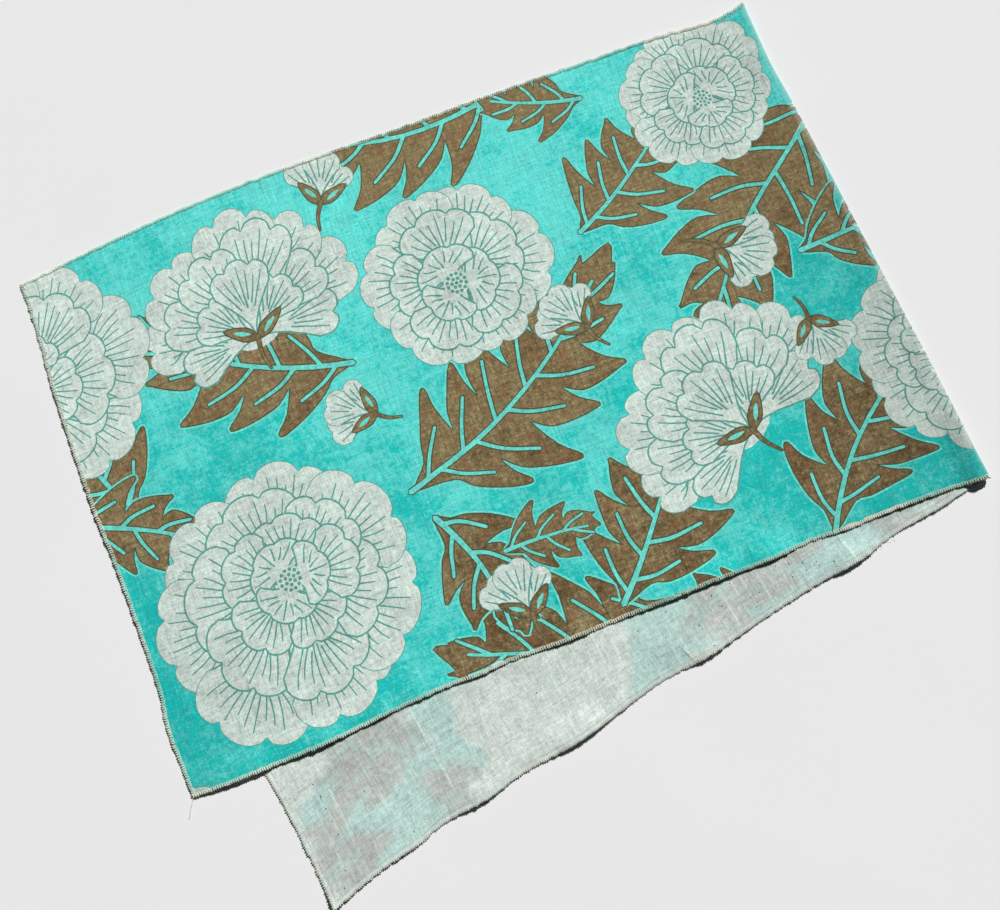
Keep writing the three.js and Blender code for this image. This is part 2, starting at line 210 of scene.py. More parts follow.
PRINT_BITE = 1.9                    # depth of the edging on the print side
WRONG_BITE = 2.8                    # and on the wrong side
THREAD_SIDES = 4                    # of a thread's section
THREAD_RADIUS = 0.20
FINE_RADIUS = 0.13                  # of the needle thread and the wrong side's looper
PRINT_SLACK = 0.4                   # how far past the cut edge the loosest loops hang, over the others
WRONG_SLACK = 0.85
TIGHT = 0.12                        # share of the bunching on the upper stretch, where they are drawn tight
BUNCH = 2.6                         # the loops hang out in bunches this far apart
LOOSE_SWELL = 1.4                   # how much thicker an untwisted loop is, for each mm past the cut edge

# ---- the cloth's surface ------------------------------------------------------------------------------

WEAVE_PITCH = 0.42                  # from thread to thread
CRUMPLE_HEIGHT = 0.00045            # in metres, of the finest crumpling
PATCH = 75.0                        # size of the broad patches of darker ground
DEEPENING_REPEAT = 524.0                  # from the free end, darkest, to the fold, darkest again
FOLD_HIGHLIGHT_REACH = (1.0, 5.0)           # painted highlight along the fold line: full up to here from it, none from there on
EDGING_COVERS = (2.2, 3.0)          # the same for the edging's fluff, from the cut edge
NEEDLE_ROW_SHADE = (2.7, 3.1, 3.4, 3.9)   # painted shade along the row of its needle: starts, is dark from and to, ends
SHADE_PAINTED_AT_FOLD = (385, 530)            # painted shade: the cloth turns darker from here to there
# painted shade at the free end's front corner, from here to there
SHADE_PAINTED_AT_CORNER = (150, -20)
THROUGH_STEP = 1.5                  # of the grid on which the show-through is blurred
THROUGH_BLURS = 2
RUN_SPAN = 9                        # points that a zigzag's direction is taken over

# ---- the view -----------------------------------------------------------------------------------------

CAMERA_PLACE = (-0.02991, -0.09647, 0.86349)
CAMERA_LOOKS = (0.02028, 0.11018, -0.99370)
CAMERA_UP = (0.36053, 0.92623, 0.11006)
LENS = 50.4
SENSOR = 36.0
SUN_AZIMUTH_DEG = 46.6              # from +X towards +Y
SUN_ELEVATION_DEG = 46.0
SUN_WIDTH_DEG = 1.5                 # how wide it stands in the sky: the edge of its shadows is as soft
TABLE_SIZE = 12.0                   # in metres


def srgb(red, green, blue):
    """Linear colour from the 0 to 255 values of a paint chart."""
    def linear(value):
        c = value / 255
        return c / 12.92 if c <= 0.04045 else ((c + 0.055) / 1.055) ** 2.4
    return (linear(red), linear(green), linear(blue))


# ======================================================================================================
# The cloth's form
# ======================================================================================================

def smooth_value(rows, at):
    """Values of a table at the given places, on a smooth curve through its rows."""
    x, y = np.array(rows, float).T
    last = len(x) - 1
    i = np.clip(np.searchsorted(x, at, side="right") - 1, 0, last - 1)
    k = np.arange(last + 1)
    before = np.maximum(k - 1, 0)
    after = np.minimum(k + 1, last)
    slope = (y[after] - y[before]) / (x[after] - x[before])
    span = x[i + 1] - x[i]
    u = np.clip((at - x[i]) / span, 0, 1)
    ease = u * u * (3 - 2 * u)
    leave = u * (1 - u) ** 2 * span * slope[i]
    arrive = u * u * (u - 1) * span * slope[i + 1]
    return y[i] * (1 - ease) + y[i + 1] * ease + leave + arrive


def fade(distance, reach):
    """1 at zero or less, 0 at `reach` or more, smooth between."""
    return (1 + np.cos(np.pi * np.clip(distance / reach, 0, 1))) / 2


def right_of(start, end):
    """Unit vector to the right of the way from one point to another."""
    way = (end - start) / np.linalg.norm(end - start)
    return np.array([way[1], -way[0]])


class Stretch:
    """Plan of one stretch: `along` from its free end to the fold, `across` from front to back."""

    def __init__(self, corners, stray):
        self.corners = {name: np.array(place) for name, place in corners.items()}
        self.stray = stray
        c = self.corners
        self.outward = {
            "front": right_of(c["end_front"], c["fold_front"]),
            "back": right_of(c["fold_back"], c["end_back"]),
            "end": right_of(c["end_back"], c["end_front"]),
            "fold": right_of(c["fold_front"], c["fold_back"]),
        }

    def plan(self, along, across):
        c = self.corners
        u = along[:, None]
        v = across[:, None]
        front = c["end_front"] * (1 - u) + c["fold_front"] * u
        back = c["end_back"] * (1 - u) + c["fold_back"] * u
        point = front * (1 - v) + back * v
        for side, at, share in (("front", along, 1 - v), ("back", along, v),
                                ("end", across, 1 - u), ("fold", across, u)):
            point = point + self.outward[side] * smooth_value(self.stray[side], at)[:, None] * share
        return point

    def depth_inside(self, point):
        """How far a point in plan lies inside the hidden back edge and the free end."""
        from_back = (point - self.corners["fold_back"]) @ self.outward["back"]
        from_end = (point - self.corners["end_back"]) @ self.outward["end"]
        return -np.maximum(from_back, from_end)


def along_turned(corner, length, degrees):
    """The point that lies `length` from a corner, turned by `degrees` from the -X direction."""
    turn = math.radians(180 + degrees)
    return (corner[0] + length * math.cos(turn), corner[1] + length * math.sin(turn))


def make_stretches():
    upper_corners = dict(UPPER_CORNERS)
    front, back = UPPER_CORNERS["fold_front"], UPPER_CORNERS["fold_back"]
    lower_corners = {
        "end_front": along_turned(front, LENGTH - UPPER_LENGTH[0], LOWER_TURN_DEG[0]),
        "end_back": along_turned(back, LENGTH - UPPER_LENGTH[1], LOWER_TURN_DEG[1]),
        "fold_front": front,
        "fold_back": back,
    }
    edges = ("front", "back", "end")
    upper_stray = {"fold": STRAY["fold"], **{edge: STRAY["upper_" + edge] for edge in edges}}
    lower_stray = {"fold": STRAY["fold"], **{edge: STRAY["lower_" + edge] for edge in edges}}
    return Stretch(upper_corners, upper_stray), Stretch(lower_corners, lower_stray)


UPPER, LOWER = make_stretches()


def edge_lift(rows, along, from_edge, reach):
    return np.maximum(smooth_value(rows, along), 0) * fade(from_edge, reach)


def lower_underside(along, across):
    wedge = -LOWER.corners["end_front"][1] * (1 - along)
    reach = np.minimum(LIFT_REACH, np.maximum(LIFT_SHARE * wedge, 1))
    return OFF_TABLE + edge_lift(LIFT["lower_front"], along, across * WIDTH, reach)


def upper_underside(along, across, length, radius):
    depth = LOWER.depth_inside(UPPER.plan(along, across))
    on_lower = fade(-depth - EASE_START, EASE_END - EASE_START)
    rest = OFF_TABLE + (STACKED - OFF_TABLE) * on_lower
    lift = edge_lift(LIFT["upper_front"], along, across * WIDTH, LIFT_REACH)
    from_bend = (1 - along) * length - radius
    puff = (OFF_TABLE + 2 * radius - THICK - STACKED) * fade(from_bend, PUFF_REACH)
    return rest + lift + puff


def sines(s, t, seed, waves, shortest, longest, share):
    """Uneven ground: a sum of waves in seeded directions, each `share` of its own length high."""
    draw = random.Random(seed)
    total = np.zeros(len(s))
    for _ in range(waves):
        length = shortest * (longest / shortest) ** draw.random()
        turn = draw.uniform(0, math.pi)
        phase = draw.uniform(0, 2 * math.pi)
        way = s * math.cos(turn) + t * math.sin(turn)
        total += share * length * np.sin(way * 2 * math.pi / length + phase)
    return total


def all_creases():
    """The table's creases, and the short ones that run in from the lower stretch's front edge."""
    draw = random.Random(41)
    rows = list(SHARP_CREASES) + list(SOFT_CREASES)
    for k in range(WEDGE_CREASES):
        s = 984 - k * 23.5 + draw.uniform(-7, 7)
        rows.append((s, draw.uniform(6, 34), 90 + draw.uniform(-24, 24), draw.uniform(26, 72),
                     draw.uniform(2.6, 5.0), draw.uniform(0.18, 0.42)))
    return rows


def relief(s, t):
    """Height of the creases and the soft unevenness of worn cotton, at places on the cloth."""
    total = sines(s, t, 5, 9, 26, 90, 0.0011) + sines(s, t, 6, 12, 9, 22, 0.0013)
    for s0, t0, turn, length, width, height in all_creases():
        c, n = math.cos(math.radians(turn)), math.sin(math.radians(turn))
        near = np.flatnonzero((np.abs(s - s0) < length) & (np.abs(t - t0) < length))
        ds, dt = s[near] - s0, t[near] - t0
        along = ds * c + dt * n
        bow = 0.06 * width * np.sin(along * 6 / length)
        across = -ds * n + dt * c + bow * 3
        taper = np.clip(1 - (2 * along / length) ** 2, 0, 1)
        sharp = width < SHARP_WIDTH
        profile = np.exp(-1.4 * np.abs(across) / width) if sharp else np.exp(-2 * (across / width) ** 2)
        total[near] += height * taper * profile
    return total


def rippled(along, seed):
    """A line of short uneven waves, mostly between -1 and 1."""
    draw = random.Random(seed)
    total = np.zeros(len(along))
    for _ in range(9):
        length = 4.5 * (22 / 4.5) ** draw.random()
        height = draw.uniform(0.3, 1.0) / 3
        total += height * np.sin(along * 2 * math.pi / length + draw.uniform(0, 2 * math.pi))
    return total


def ruffled(s, t):
    """Places on the cloth after the edging's uneven pull on the cut edges, and the height it adds."""
    near_front, near_back = fade(t, RUFFLE_REACH), fade(WIDTH - t, RUFFLE_REACH)
    near_start, near_end = fade(s, RUFFLE_REACH), fade(LENGTH - s, RUFFLE_REACH)
    pull_t = rippled(s, 201) * near_front - rippled(s, 202) * near_back
    pull_s = rippled(t, 203) * near_start - rippled(t, 204) * near_end
    free = fade(t - CURL_FREE[0], CURL_FREE[1] - CURL_FREE[0])
    rise = RUFFLE_RISE * (rippled(s, 205) * near_front + rippled(s, 206) * near_back)
    rise += (END_CURL + END_RISE * rippled(t, 207)) * near_start
    rise += (END_CURL + END_RISE * rippled(t, 208)) * near_end * free
    return s + RUFFLE * pull_s, t + RUFFLE * pull_t, rise


def upper_length_at(across):
    return UPPER_LENGTH[0] + (UPPER_LENGTH[1] - UPPER_LENGTH[0]) * across


def bend_radius(across):
    return (smooth_value(FOLD_HEIGHT, across) - OFF_TABLE - FOLD_SPARE) / 2


def quarter_bend(across):
    """Cloth in a quarter of the round bend, from the fold line."""
    return (bend_radius(across) - THICK / 2) * math.pi / 2


def cloth_points(s, t, height):
    """Places in the frame, in mm, of points on the cloth; height runs from its wrong side up to THICK."""
    s, t, rise = ruffled(s, t)
    across = t / WIDTH
    upper_length = upper_length_at(across)
    lower_length = LENGTH - upper_length
    radius = bend_radius(across)
    quarter = quarter_bend(across)
    past = s - upper_length
    bend = np.abs(past) <= quarter
    angle = np.clip(-past / quarter, -1, 1) * math.pi / 2
    reach = radius - THICK + height
    distance = np.where(bend, radius - reach * np.cos(angle), radius + np.abs(past) - quarter)
    upper_along = 1 - distance / (upper_length + radius - quarter)
    lower_along = 1 - distance / (lower_length + radius - quarter)
    share = ((1 - np.sin(angle)) / 2)[:, None]
    plan = UPPER.plan(upper_along, across) * (1 - share) + LOWER.plan(lower_along, across) * share

    on_upper = upper_underside(upper_along, across, upper_length, radius) + height
    on_lower = lower_underside(lower_along, across) + THICK - height
    in_bend = OFF_TABLE + radius + reach * np.sin(angle)
    settled = 1 - fade(np.abs(past) - quarter, RELIEF_FROM_BEND)
    uneven = (relief(s, t) + rise) * settled
    flat = np.where(past > 0, on_lower + np.maximum(uneven, -OFF_TABLE / 2), on_upper + uneven)
    z = np.maximum(np.where(bend, in_bend, flat), LOWEST)
    return np.column_stack([plan, z]) - FRAME_SHIFT


def frame_shift():
    """The solids are moved so that their box has its middle on the origin."""
    way = np.linspace(0, 1, 401)
    front, back = np.zeros(401), np.ones(401)
    edges = [UPPER.plan(way, front), UPPER.plan(way, back), UPPER.plan(front, way),
             LOWER.plan(way, front), LOWER.plan(front, way), UPPER.plan(back, way)]
    every = np.concatenate(edges)
    middle = (every.max(0) + every.min(0)) / 2
    return np.array([middle[0], middle[1], 0.0])


FRAME_SHIFT = frame_shift()

# ======================================================================================================
# Drawing the print
# ======================================================================================================

def curve(points, steps=5, closed=False):
    """Points on a smooth curve through the given ones."""
    p = np.asarray(points, float)
    n = len(p)
    out = []
    for i in range(n if closed else n - 1):
        a, b = p[i], p[(i + 1) % n]
        before = p[i - 1] if closed or i else 2 * a - b
        after = p[(i + 2) % n] if closed or i + 2 < n else 2 * b - a
        for k in range(steps):
            u = k / steps
            out.append(0.5 * (2 * a + (b - before) * u + (2 * before - 5 * a + 4 * b - after) * u * u
                              + (3 * a - before - 3 * b + after) * u ** 3))
    if not closed:
        out.append(p[-1])
    return np.array(out)


def grown(outline, by):
    """A closed outline moved outwards by a distance, or inwards if it is negative."""
    p = np.asarray(outline, float)
    ahead = np.roll(p, -1, 0) - np.roll(p, 1, 0)
    length = np.maximum(np.hypot(*ahead.T), 1e-9)
    normal = np.stack([ahead[:, 1], -ahead[:, 0]], 1) / length[:, None]
    x, y = p.T
    if np.sum(x * np.roll(y, -1) - y * np.roll(x, -1)) < 0:
        normal = -normal
    return p + normal * by


def stroke(line, width, root=1.0, tip=0.4):
    """Outline of a pen stroke along a line, from `root` to `tip` of its width."""
    p = np.asarray(line, float)
    ahead = np.gradient(p, axis=0)
    ahead /= np.maximum(np.hypot(*ahead.T), 1e-9)[:, None]
    normal = np.stack([-ahead[:, 1], ahead[:, 0]], 1)
    half = 0.5 * width * np.linspace(root, tip, len(p))[:, None]
    cap = [p[-1] + (ahead[-1] * c + normal[-1] * s) * half[-1] for c, s in ((0.7, 0.7), (1, 0), (0.7, -0.7))]
    return np.concatenate([p + normal * half, cap, (p - normal * half)[::-1], [p[0] - ahead[0] * half[0]]])


def disc(radius, x=0.0, y=0.0, points=7):
    a = np.arange(points) * 2 * math.pi / points
    return np.stack([x + radius * np.cos(a), y + radius * np.sin(a)], 1)


def placed(shapes, x, y, turn, size=1.0):
    """Shapes turned, sized and moved. A shape is (ink, outline)."""
    c, s = math.cos(math.radians(turn)), math.sin(math.radians(turn))
    matrix = np.array([[c, s], [-s, c]]) * size
    return [(ink, np.asarray(p) @ matrix + [x, y]) for ink, p in shapes]


def petal(base, tip, spread, lobes, veins, outlined, start):
    """A petal along +X from radius `base` to `tip`: a rim of soft lobes, and fine lines fanning out."""
    length = tip - base
    half = math.radians(spread) / 2
    sides = [(base + length * 0.80 * k / 5, half * (0.34 + 0.66 * math.sin(k / 5 * math.pi / 2)))
             for k in range(5)]
    rim = []
    steps = lobes * max(6, round(2 * half * tip / lobes / RIM_STEP))
    for k in range(steps + 1):
        u = k / steps
        a = half * (1 - 2 * u)
        dome = 0.78 + 0.22 * max(math.cos(a / half * math.pi / 2), 0) ** 0.55
        notch = 0.085 * (1 - abs(math.sin(u * lobes * math.pi)) ** 0.5)
        rim.append((base + length * (dome - notch), a))
    polar = sides + rim + [(r, -a) for r, a in reversed(sides)]
    outline = np.array([(r * math.cos(a), r * math.sin(a)) for r, a in polar])
    inner = grown(outline, -PEN)
    if not outlined:
        n = len(sides)
        inner = np.concatenate([inner[:n], grown(outline, -0.45 * PEN)[n:-n], inner[-n:]])
    shapes = [(LINE, outline), (PETAL, inner)]
    for k in range(veins):
        a = half * 0.78 * (2 * (k + 0.5) / veins - 1)
        near = base + length * (start + 0.05 * ((k * 7) % 3))
        far = base + length * (0.90 - 0.05 * ((k * 5) % 3) - 0.13 * abs(a / half))
        line = [(r * math.cos(a * w), r * math.sin(a * w))
                for r, w in zip(np.linspace(near, far, 4), (0.62, 0.82, 0.95, 1.0))]
        shapes.append((LINE, stroke(line, PEN, 1.0, 0.7)))
    return shapes


def ring(turns, base, tips, spread, lobes, veins, outlined, start, seed):
    """Petals at the given turns, each a little different."""
    draw = random.Random(seed)
    shapes = []
    for turn, tip in zip(turns, tips):
        wobble = draw.uniform(-4, 4)
        one = petal(base, tip * draw.uniform(0.92, 1.06), spread * draw.uniform(0.90, 1.08), lobes, veins,
                    outlined, start)
        shapes += placed(one, 0, 0, turn + wobble)
    return shapes


def even(count, first):
    return [first + 360 * k / count for k in range(count)]


def dots(radius, dot, rings):
    shapes = []
    for r in range(rings + 1):
        count = max(1, 6 * r)
        for k in range(count):
            a = 2 * math.pi * k / count + 0.3 * r
            reach = radius * r / rings
            shapes.append((LINE, disc(dot, reach * math.cos(a), reach * math.sin(a))))
    return shapes


def heart(r, x, y):
    """The middle of a blossom: a bare disc with dots."""
    return placed([(PETAL, disc(r, 0, 0, 18))] + dots(r * 0.74, 1.25, 2), x, y, 0)


def open_blossom(r=84):
    """Seen from above, a little from the front: the inner rings sit off the middle."""
    shapes = [(PETAL, disc(r * 0.6, 0, 0, 20))]
    shapes += ring(even(7, 8), 12, [r] * 7, 66, 3, 11, False, 0.46, 3)
    shapes += placed(ring(even(6, 30), 8, [r * 0.78] * 6, 74, 3, 10, True, 0.40, 5), r * 0.05, 0, 0)
    shapes += placed(ring(even(5, 4), 6, [r * 0.54] * 5, 88, 3, 8, True, 0.36, 7), r * 0.11, 0, 0)
    shapes += placed(ring(even(3, 50), 2, [r * 0.32] * 3, 140, 3, 7, True, 0.44, 11), r * 0.14, 0, 0)
    return shapes + heart(r * 0.10, r * 0.14, 0)


def round_blossom(r=62):
    shapes = [(PETAL, disc(r * 0.6, 0, 0, 20))]
    shapes += ring(even(6, 15), 8, [r] * 6, 76, 3, 9, False, 0.44, 13)
    shapes += placed(ring(even(5, 44), 5, [r * 0.74] * 5, 86, 3, 8, True, 0.36, 17), 0, -r * 0.05, 0)
    shapes += placed(ring(even(3, 10), 2, [r * 0.44] * 3, 140, 3, 7, True, 0.44, 19), 0, -r * 0.10, 0)
    return shapes + heart(r * 0.13, 0, -r * 0.10)


def calyx(turns, length, stem_length):
    """Looped sepals and a stem, their root at the origin."""
    long = length
    sepal = curve([(0, -1.4), (long * 0.40, -4.6), (long, -0.4), (long * 0.40, 3.8), (0, 1.4)], 4)
    slit = curve([(long * 0.22, -1.3), (long * 0.49, -2.1), (long * 0.72, -0.4), (long * 0.47, 0.9)], 3, True)
    stem = stroke(curve([(1, 0), (-stem_length * 0.5, 1.4), (-stem_length, -0.6)]), 2.8, 1.0, 0.35)
    shapes = []
    for turn in turns:
        shapes += placed([(DARK, grown(sepal, 0.8)), (LEAF, sepal), (VEIN, slit)], 0, 0, turn)
    return shapes + [(DARK, grown(stem, 0.6)), (LEAF, stem)]


def cup_blossom(r=92):
    """Seen from the side: its foot at the origin, opening along +X."""
    shapes = [(PETAL, disc(r * 0.26, r * 0.18, 0, 16))]
    shapes += ring([-66, 68, -36, 38, -2], 6, [r * 0.86, r * 0.84, r, r * 0.98, r * 1.04], 50, 3, 9, False,
                   0.54, 23)
    shapes += ring([-86, 88], 3, [r * 0.62] * 2, 54, 3, 7, True, 0.36, 27)
    shapes += ring([-52, 52, -18, 20], 4, [r * 0.74, r * 0.74, r * 0.82, r * 0.80], 54, 3, 8, True, 0.46, 29)
    shapes += ring([-42, 44, 0], 2, [r * 0.52, r * 0.52, r * 0.58], 66, 3, 7, True, 0.36, 31)
    return shapes + calyx((-58, 58), r * 0.26, r * 0.24)


def bud(r=40):
    """Three closed petals, two looped sepals and a stem."""
    shapes = ring([-30, 30, 0], 3, [r * 0.88, r * 0.9, r], 56, 2, 4, False, 0.36, 37)
    return shapes + calyx((-50, 50), r * 0.55, r * 0.48)


# One lobe of a leaf. Rows are (place along it, share of the leaf's half width).
LEAF_LOBE = ((0.0, 0.42), (0.22, 0.74), (0.60, 0.98), (1.02, 1.20), (1.18, 1.22), (1.02, 0.86))


def leaf(length, width, lobes, bend):
    """A deeply toothed leaf along +X, its midrib bending by `bend` degrees over its length."""
    turn = math.radians(bend)
    radius = length / turn

    def rib(u):
        a = turn * u
        return (np.array([radius * math.sin(a), radius * (1 - math.cos(a))]),
                np.array([-math.sin(a), math.cos(a)]))

    def full(u):
        return width * (0.06 + 0.94 * math.sin(math.pi * min(max(u, 0), 1) ** 0.75) ** 0.8)

    step = 0.88 / lobes
    halves = []
    veins = []
    for side, lag in ((1, 0.0), (-1, 0.35 * step)):
        points = []
        for k in range(lobes):
            u0 = 0.06 + lag + k * step
            long = 1.0 if (k + (side > 0)) % 2 else 0.84
            for du, reach in LEAF_LOBE:
                middle, across = rib(min(u0 + du * step, 0.985))
                points.append(middle + across * side * full(u0 + min(du, 0.9) * step) * reach * long)
            root, _ = rib(u0 - 0.02)
            w = full(u0 + 0.5 * step) * long
            tip, tip_across = rib(min(u0 + 0.72 * step, 0.97))
            middle, mid_across = rib(u0 + 0.22 * step)
            veins.append(curve([root, middle + mid_across * side * w * 0.36,
                                tip + tip_across * side * w * 0.72], 4))
        halves.append(points)
    start = rib(0)[0]
    outline = [start + [-1, -1.6]] + halves[1] + [rib(1.04)[0]] + halves[0][::-1] + [start + [-1, 1.6]]
    body = curve(outline, 3, True)
    spine = np.array([rib(u)[0] for u in np.linspace(-0.03, 0.90, 12)])
    shapes = [(VEIN, grown(body, 1.9)), (DARK, grown(body, 0.75)), (LEAF, body)]
    for ink, more, tip in ((DARK, 1.6, 0.85), (VEIN, 0.0, 0.75)):
        shapes += [(ink, stroke(line, 2.4 + more, 1.0, tip)) for line in veins]
        shapes.append((ink, stroke(spine, 3.3 + more, 1.0, 0.55)))
    return shapes


def motifs():
    return {
        "open_blossom": open_blossom(),
        "round_blossom": round_blossom(),
        "cup_blossom": cup_blossom(),
        "bud": bud(),
        "long_leaf": leaf(190, 44, 6, 34),
        "hooked_leaf": leaf(150, 38, 5, -42),
        "broad_leaf": leaf(105, 38, 4, 20),
        "small_leaf": leaf(78, 26, 3, -18),
    }


def clipped(outline):
    """The part of an outline that lies on the cloth."""
    for axis, bound, keep in ((0, 0.0, 1), (0, LENGTH, -1), (1, 0.0, 1), (1, WIDTH, -1)):
        if len(outline) < 3:
            return outline
        depth = (outline[:, axis] - bound) * keep
        out = []
        for i in range(len(outline)):
            a, b = outline[i - 1], outline[i]
            da, db = depth[i - 1], depth[i]
            if (da >= 0) != (db >= 0):
                crossing = a + (b - a) * (da / (da - db))
                crossing[axis] = bound
                out.append(crossing)
            if db >= 0:
                out.append(b)
        outline = np.array(out)
    return outline


def print_shapes():
    """Every motif of every repeat that reaches the cloth, in the order in which they are painted."""
    made = motifs()
    shapes = []
    for name, s, t, turn, size in MOTIFS:
        for repeat in (-1, 0, 1):
            for wrap in (-WIDTH, 0, WIDTH):
                x = s + repeat * REPEAT
                y = (t + repeat * DROP) % WIDTH + wrap
                for ink, outline in placed(made[name], x, y, turn, size):
                    outline = clipped(outline)
                    if len(outline) > 2:
                        shapes.append((ink, outline))
    return shapes


def inside(points, outline):
    """Which of the points a closed outline winds round."""
    x, y = points[:, 0][:, None], points[:, 1][:, None]
    ax, ay = outline.T
    bx, by = np.roll(outline, -1, 0).T
    rise = by - ay
    crosses = (ay > y) != (by > y)
    at = ax + (y - ay) * (bx - ax) / np.where(rise == 0, 1, rise)
    return np.sum(np.where(crosses & (x < at), np.sign(rise), 0), axis=1) != 0


def topmost(points, shapes):
    """For each point the number of the last shape painted over it, or -1."""
    order = np.argsort(points[:, 0], kind="stable")
    p = points[order]
    top = np.full(len(p), -1)
    for k, (_, outline) in enumerate(shapes):
        low, high = np.searchsorted(p[:, 0], [outline[:, 0].min(), outline[:, 0].max()])
        y = p[low:high, 1]
        chosen = low + np.flatnonzero((y > outline[:, 1].min()) & (y < outline[:, 1].max()))
        if len(chosen):
            top[chosen[inside(p[chosen], outline)]] = k
    result = np.empty_like(top)
    result[order] = top
    return result


def inks_at(points, shapes):
    """The ink that shows at each point."""
    inks = np.array([ink for ink, _ in shapes] + [GROUND])
    return inks[topmost(points, shapes)]


def rim_points():
    """Points round the cut edge, front edge first, closer where the fold bends it."""
    t = np.linspace(0, WIDTH, int(WIDTH / EDGE_STEP) + 1)

    def long_edge(across):
        here = np.array([float(across)])
        even_steps = np.linspace(0, LENGTH, int(LENGTH / EDGE_STEP) + 1)
        rows = upper_length_at(here) + quarter_bend(here) * np.array(BEND_ROWS)
        clear = np.min(np.abs(even_steps[:, None] - rows[None, :]), axis=1) > 0.4
        return np.sort(np.concatenate([even_steps[clear], rows]))
    front = long_edge(0)
    back = long_edge(1)[::-1]
    return ([(x, 0.0) for x in front[:-1]] + [(LENGTH, y) for y in t[:-1]]
            + [(x, WIDTH) for x in back[:-1]] + [(0.0, y) for y in t[:0:-1]])


def grid_points(spacing, low, high, inset=6.5):
    """Points inside the cut between two places along it, in staggered rows."""
    s = np.arange(max(low, inset), min(high, LENGTH - inset), spacing)
    t = np.arange(inset, WIDTH - inset / 2, spacing)
    x, y = np.meshgrid(s, t)
    x = x + np.where(np.arange(len(t)) % 2, 0.25, -0.25)[:, None] * spacing * 0.9
    return np.column_stack([x.ravel(), y.ravel()])


def edge_points():
    """Rows of points just inside the cut edges."""
    rows = []
    for depth in EDGE_ROWS:
        s = np.arange(depth, LENGTH - depth, EDGE_STEP)
        t = np.arange(depth, WIDTH - depth, EDGE_STEP)
        rows += [np.column_stack([s, np.full(len(s), across)]) for across in (depth, WIDTH - depth)]
        rows += [np.column_stack([np.full(len(t), along), t]) for along in (depth, LENGTH - depth)]
    return np.concatenate(rows)


def bend_points():
    """Rows of points that follow the fold line, close enough for a round bend."""
    t = np.arange(2.0, WIDTH, 2.0)
    rows = upper_length_at(t / WIDTH)[:, None] + quarter_bend(t / WIDTH)[:, None] * np.array(BEND_ROWS)
    return np.column_stack([rows.ravel(), np.repeat(t, len(BEND_ROWS))])


def crease_points(low, high):
    """Rows of points along the sharp creases."""
    found = []
    for s, t, turn, length, width, _ in SHARP_CREASES:
        if low < s < high:
            along, across = np.meshgrid(np.arange(-length / 2, length / 2, 1.6),
                                        width * np.array([-2.6, -1.3, -0.5, 0, 0.5, 1.3, 2.6]))
            c, n = math.cos(math.radians(turn)), math.sin(math.radians(turn))
            found.append(np.column_stack([(s + along * c - across * n).ravel(),
                                          (t + along * n + across * c).ravel()]))
    return np.concatenate(found)


def kept_apart(points, others, apart):
    """The points that lie further than `apart` from all the others."""
    tree = KDTree(len(others))
    for k, (x, y) in enumerate(others):
        tree.insert((x, y, 0), k)
    tree.balance()
    return np.array([p for p in points if tree.find((p[0], p[1], 0))[2] > apart])


def band(points, low, high):
    """The points whose distance from the front edge lies in a range."""
    return points[(points[:, 1] > low) & (points[:, 1] < high)]


def hidden_points(low, high):
    """Points on the side of a stretch that lies hidden, closer where the front edge waves."""
    waving = band(grid_points(GRID, low, high), 0, WAVY)
    flat = band(grid_points(COARSE_GRID, low, high), WAVY + 2, WIDTH)
    return [waving, flat]


def print_side_points():
    close = np.concatenate([bend_points(), crease_points(0, LENGTH / 2)])
    close = close[(close[:, 1] > 1) & (close[:, 1] < WIDTH - 1) & (close[:, 0] > 1)]
    plain = np.concatenate([grid_points(GRID, 0, 532), *hidden_points(536, LENGTH), edge_points()])
    return np.concatenate([close, kept_apart(plain, close, 1.2)])


def wrong_side_points():
    close = np.concatenate([bend_points(), crease_points(LENGTH / 2, LENGTH)])
    close = close[(close[:, 1] > 1) & (close[:, 1] < WIDTH - 1)]
    wedge = band(grid_points(3.0, 530, LENGTH), 0, WEDGE_DEPTH)
    under = band(grid_points(COARSE_GRID, 530, LENGTH), WEDGE_DEPTH + 4, WIDTH)
    rising = grid_points(GRID, UNPRESSED + 2, UNPRESSED + 30)
    at_bend = grid_points(2.8, UNPRESSED + 32, 532)
    plain = np.concatenate([*hidden_points(0, UNPRESSED), rising, at_bend, wedge, under, edge_points()])
    return np.concatenate([close, kept_apart(plain, close, 1.2)])


def triangulated(shapes, rim, plain):
    """The cut as triangles whose edges follow what shows of the shapes: (points, triangles, ink of each)."""
    starts = np.cumsum([0] + [len(p) for _, p in shapes])
    points = np.concatenate([p for _, p in shapes])
    following = np.concatenate([np.roll(np.arange(len(p)), -1) + s for (_, p), s in zip(shapes, starts)])
    own = np.concatenate([np.full(len(p), k) for k, (_, p) in enumerate(shapes)])
    top = topmost(points, shapes)
    halfway = topmost((points + points[following]) / 2, shapes)
    shows = np.flatnonzero(~((top > own) & (top[following] > own) & (halfway > own)))
    used, ends = np.unique(np.concatenate([shows, following[shows]]), return_inverse=True)
    edges = ends.reshape(2, -1).T.tolist()
    places = [tuple(p) for p in points[used]]
    first = len(places)
    places += rim
    edges += [(first + i, first + (i + 1) % len(rim)) for i in range(len(rim))]
    places += [tuple(p) for p in plain]
    found, _, faces, _, _, _ = delaunay_2d_cdt(places, edges, [], 0, 0.02, False)
    found = np.array([tuple(p) for p in found])
    faces = np.array(faces)
    return found, faces, inks_at(found[faces].mean(1), shapes)


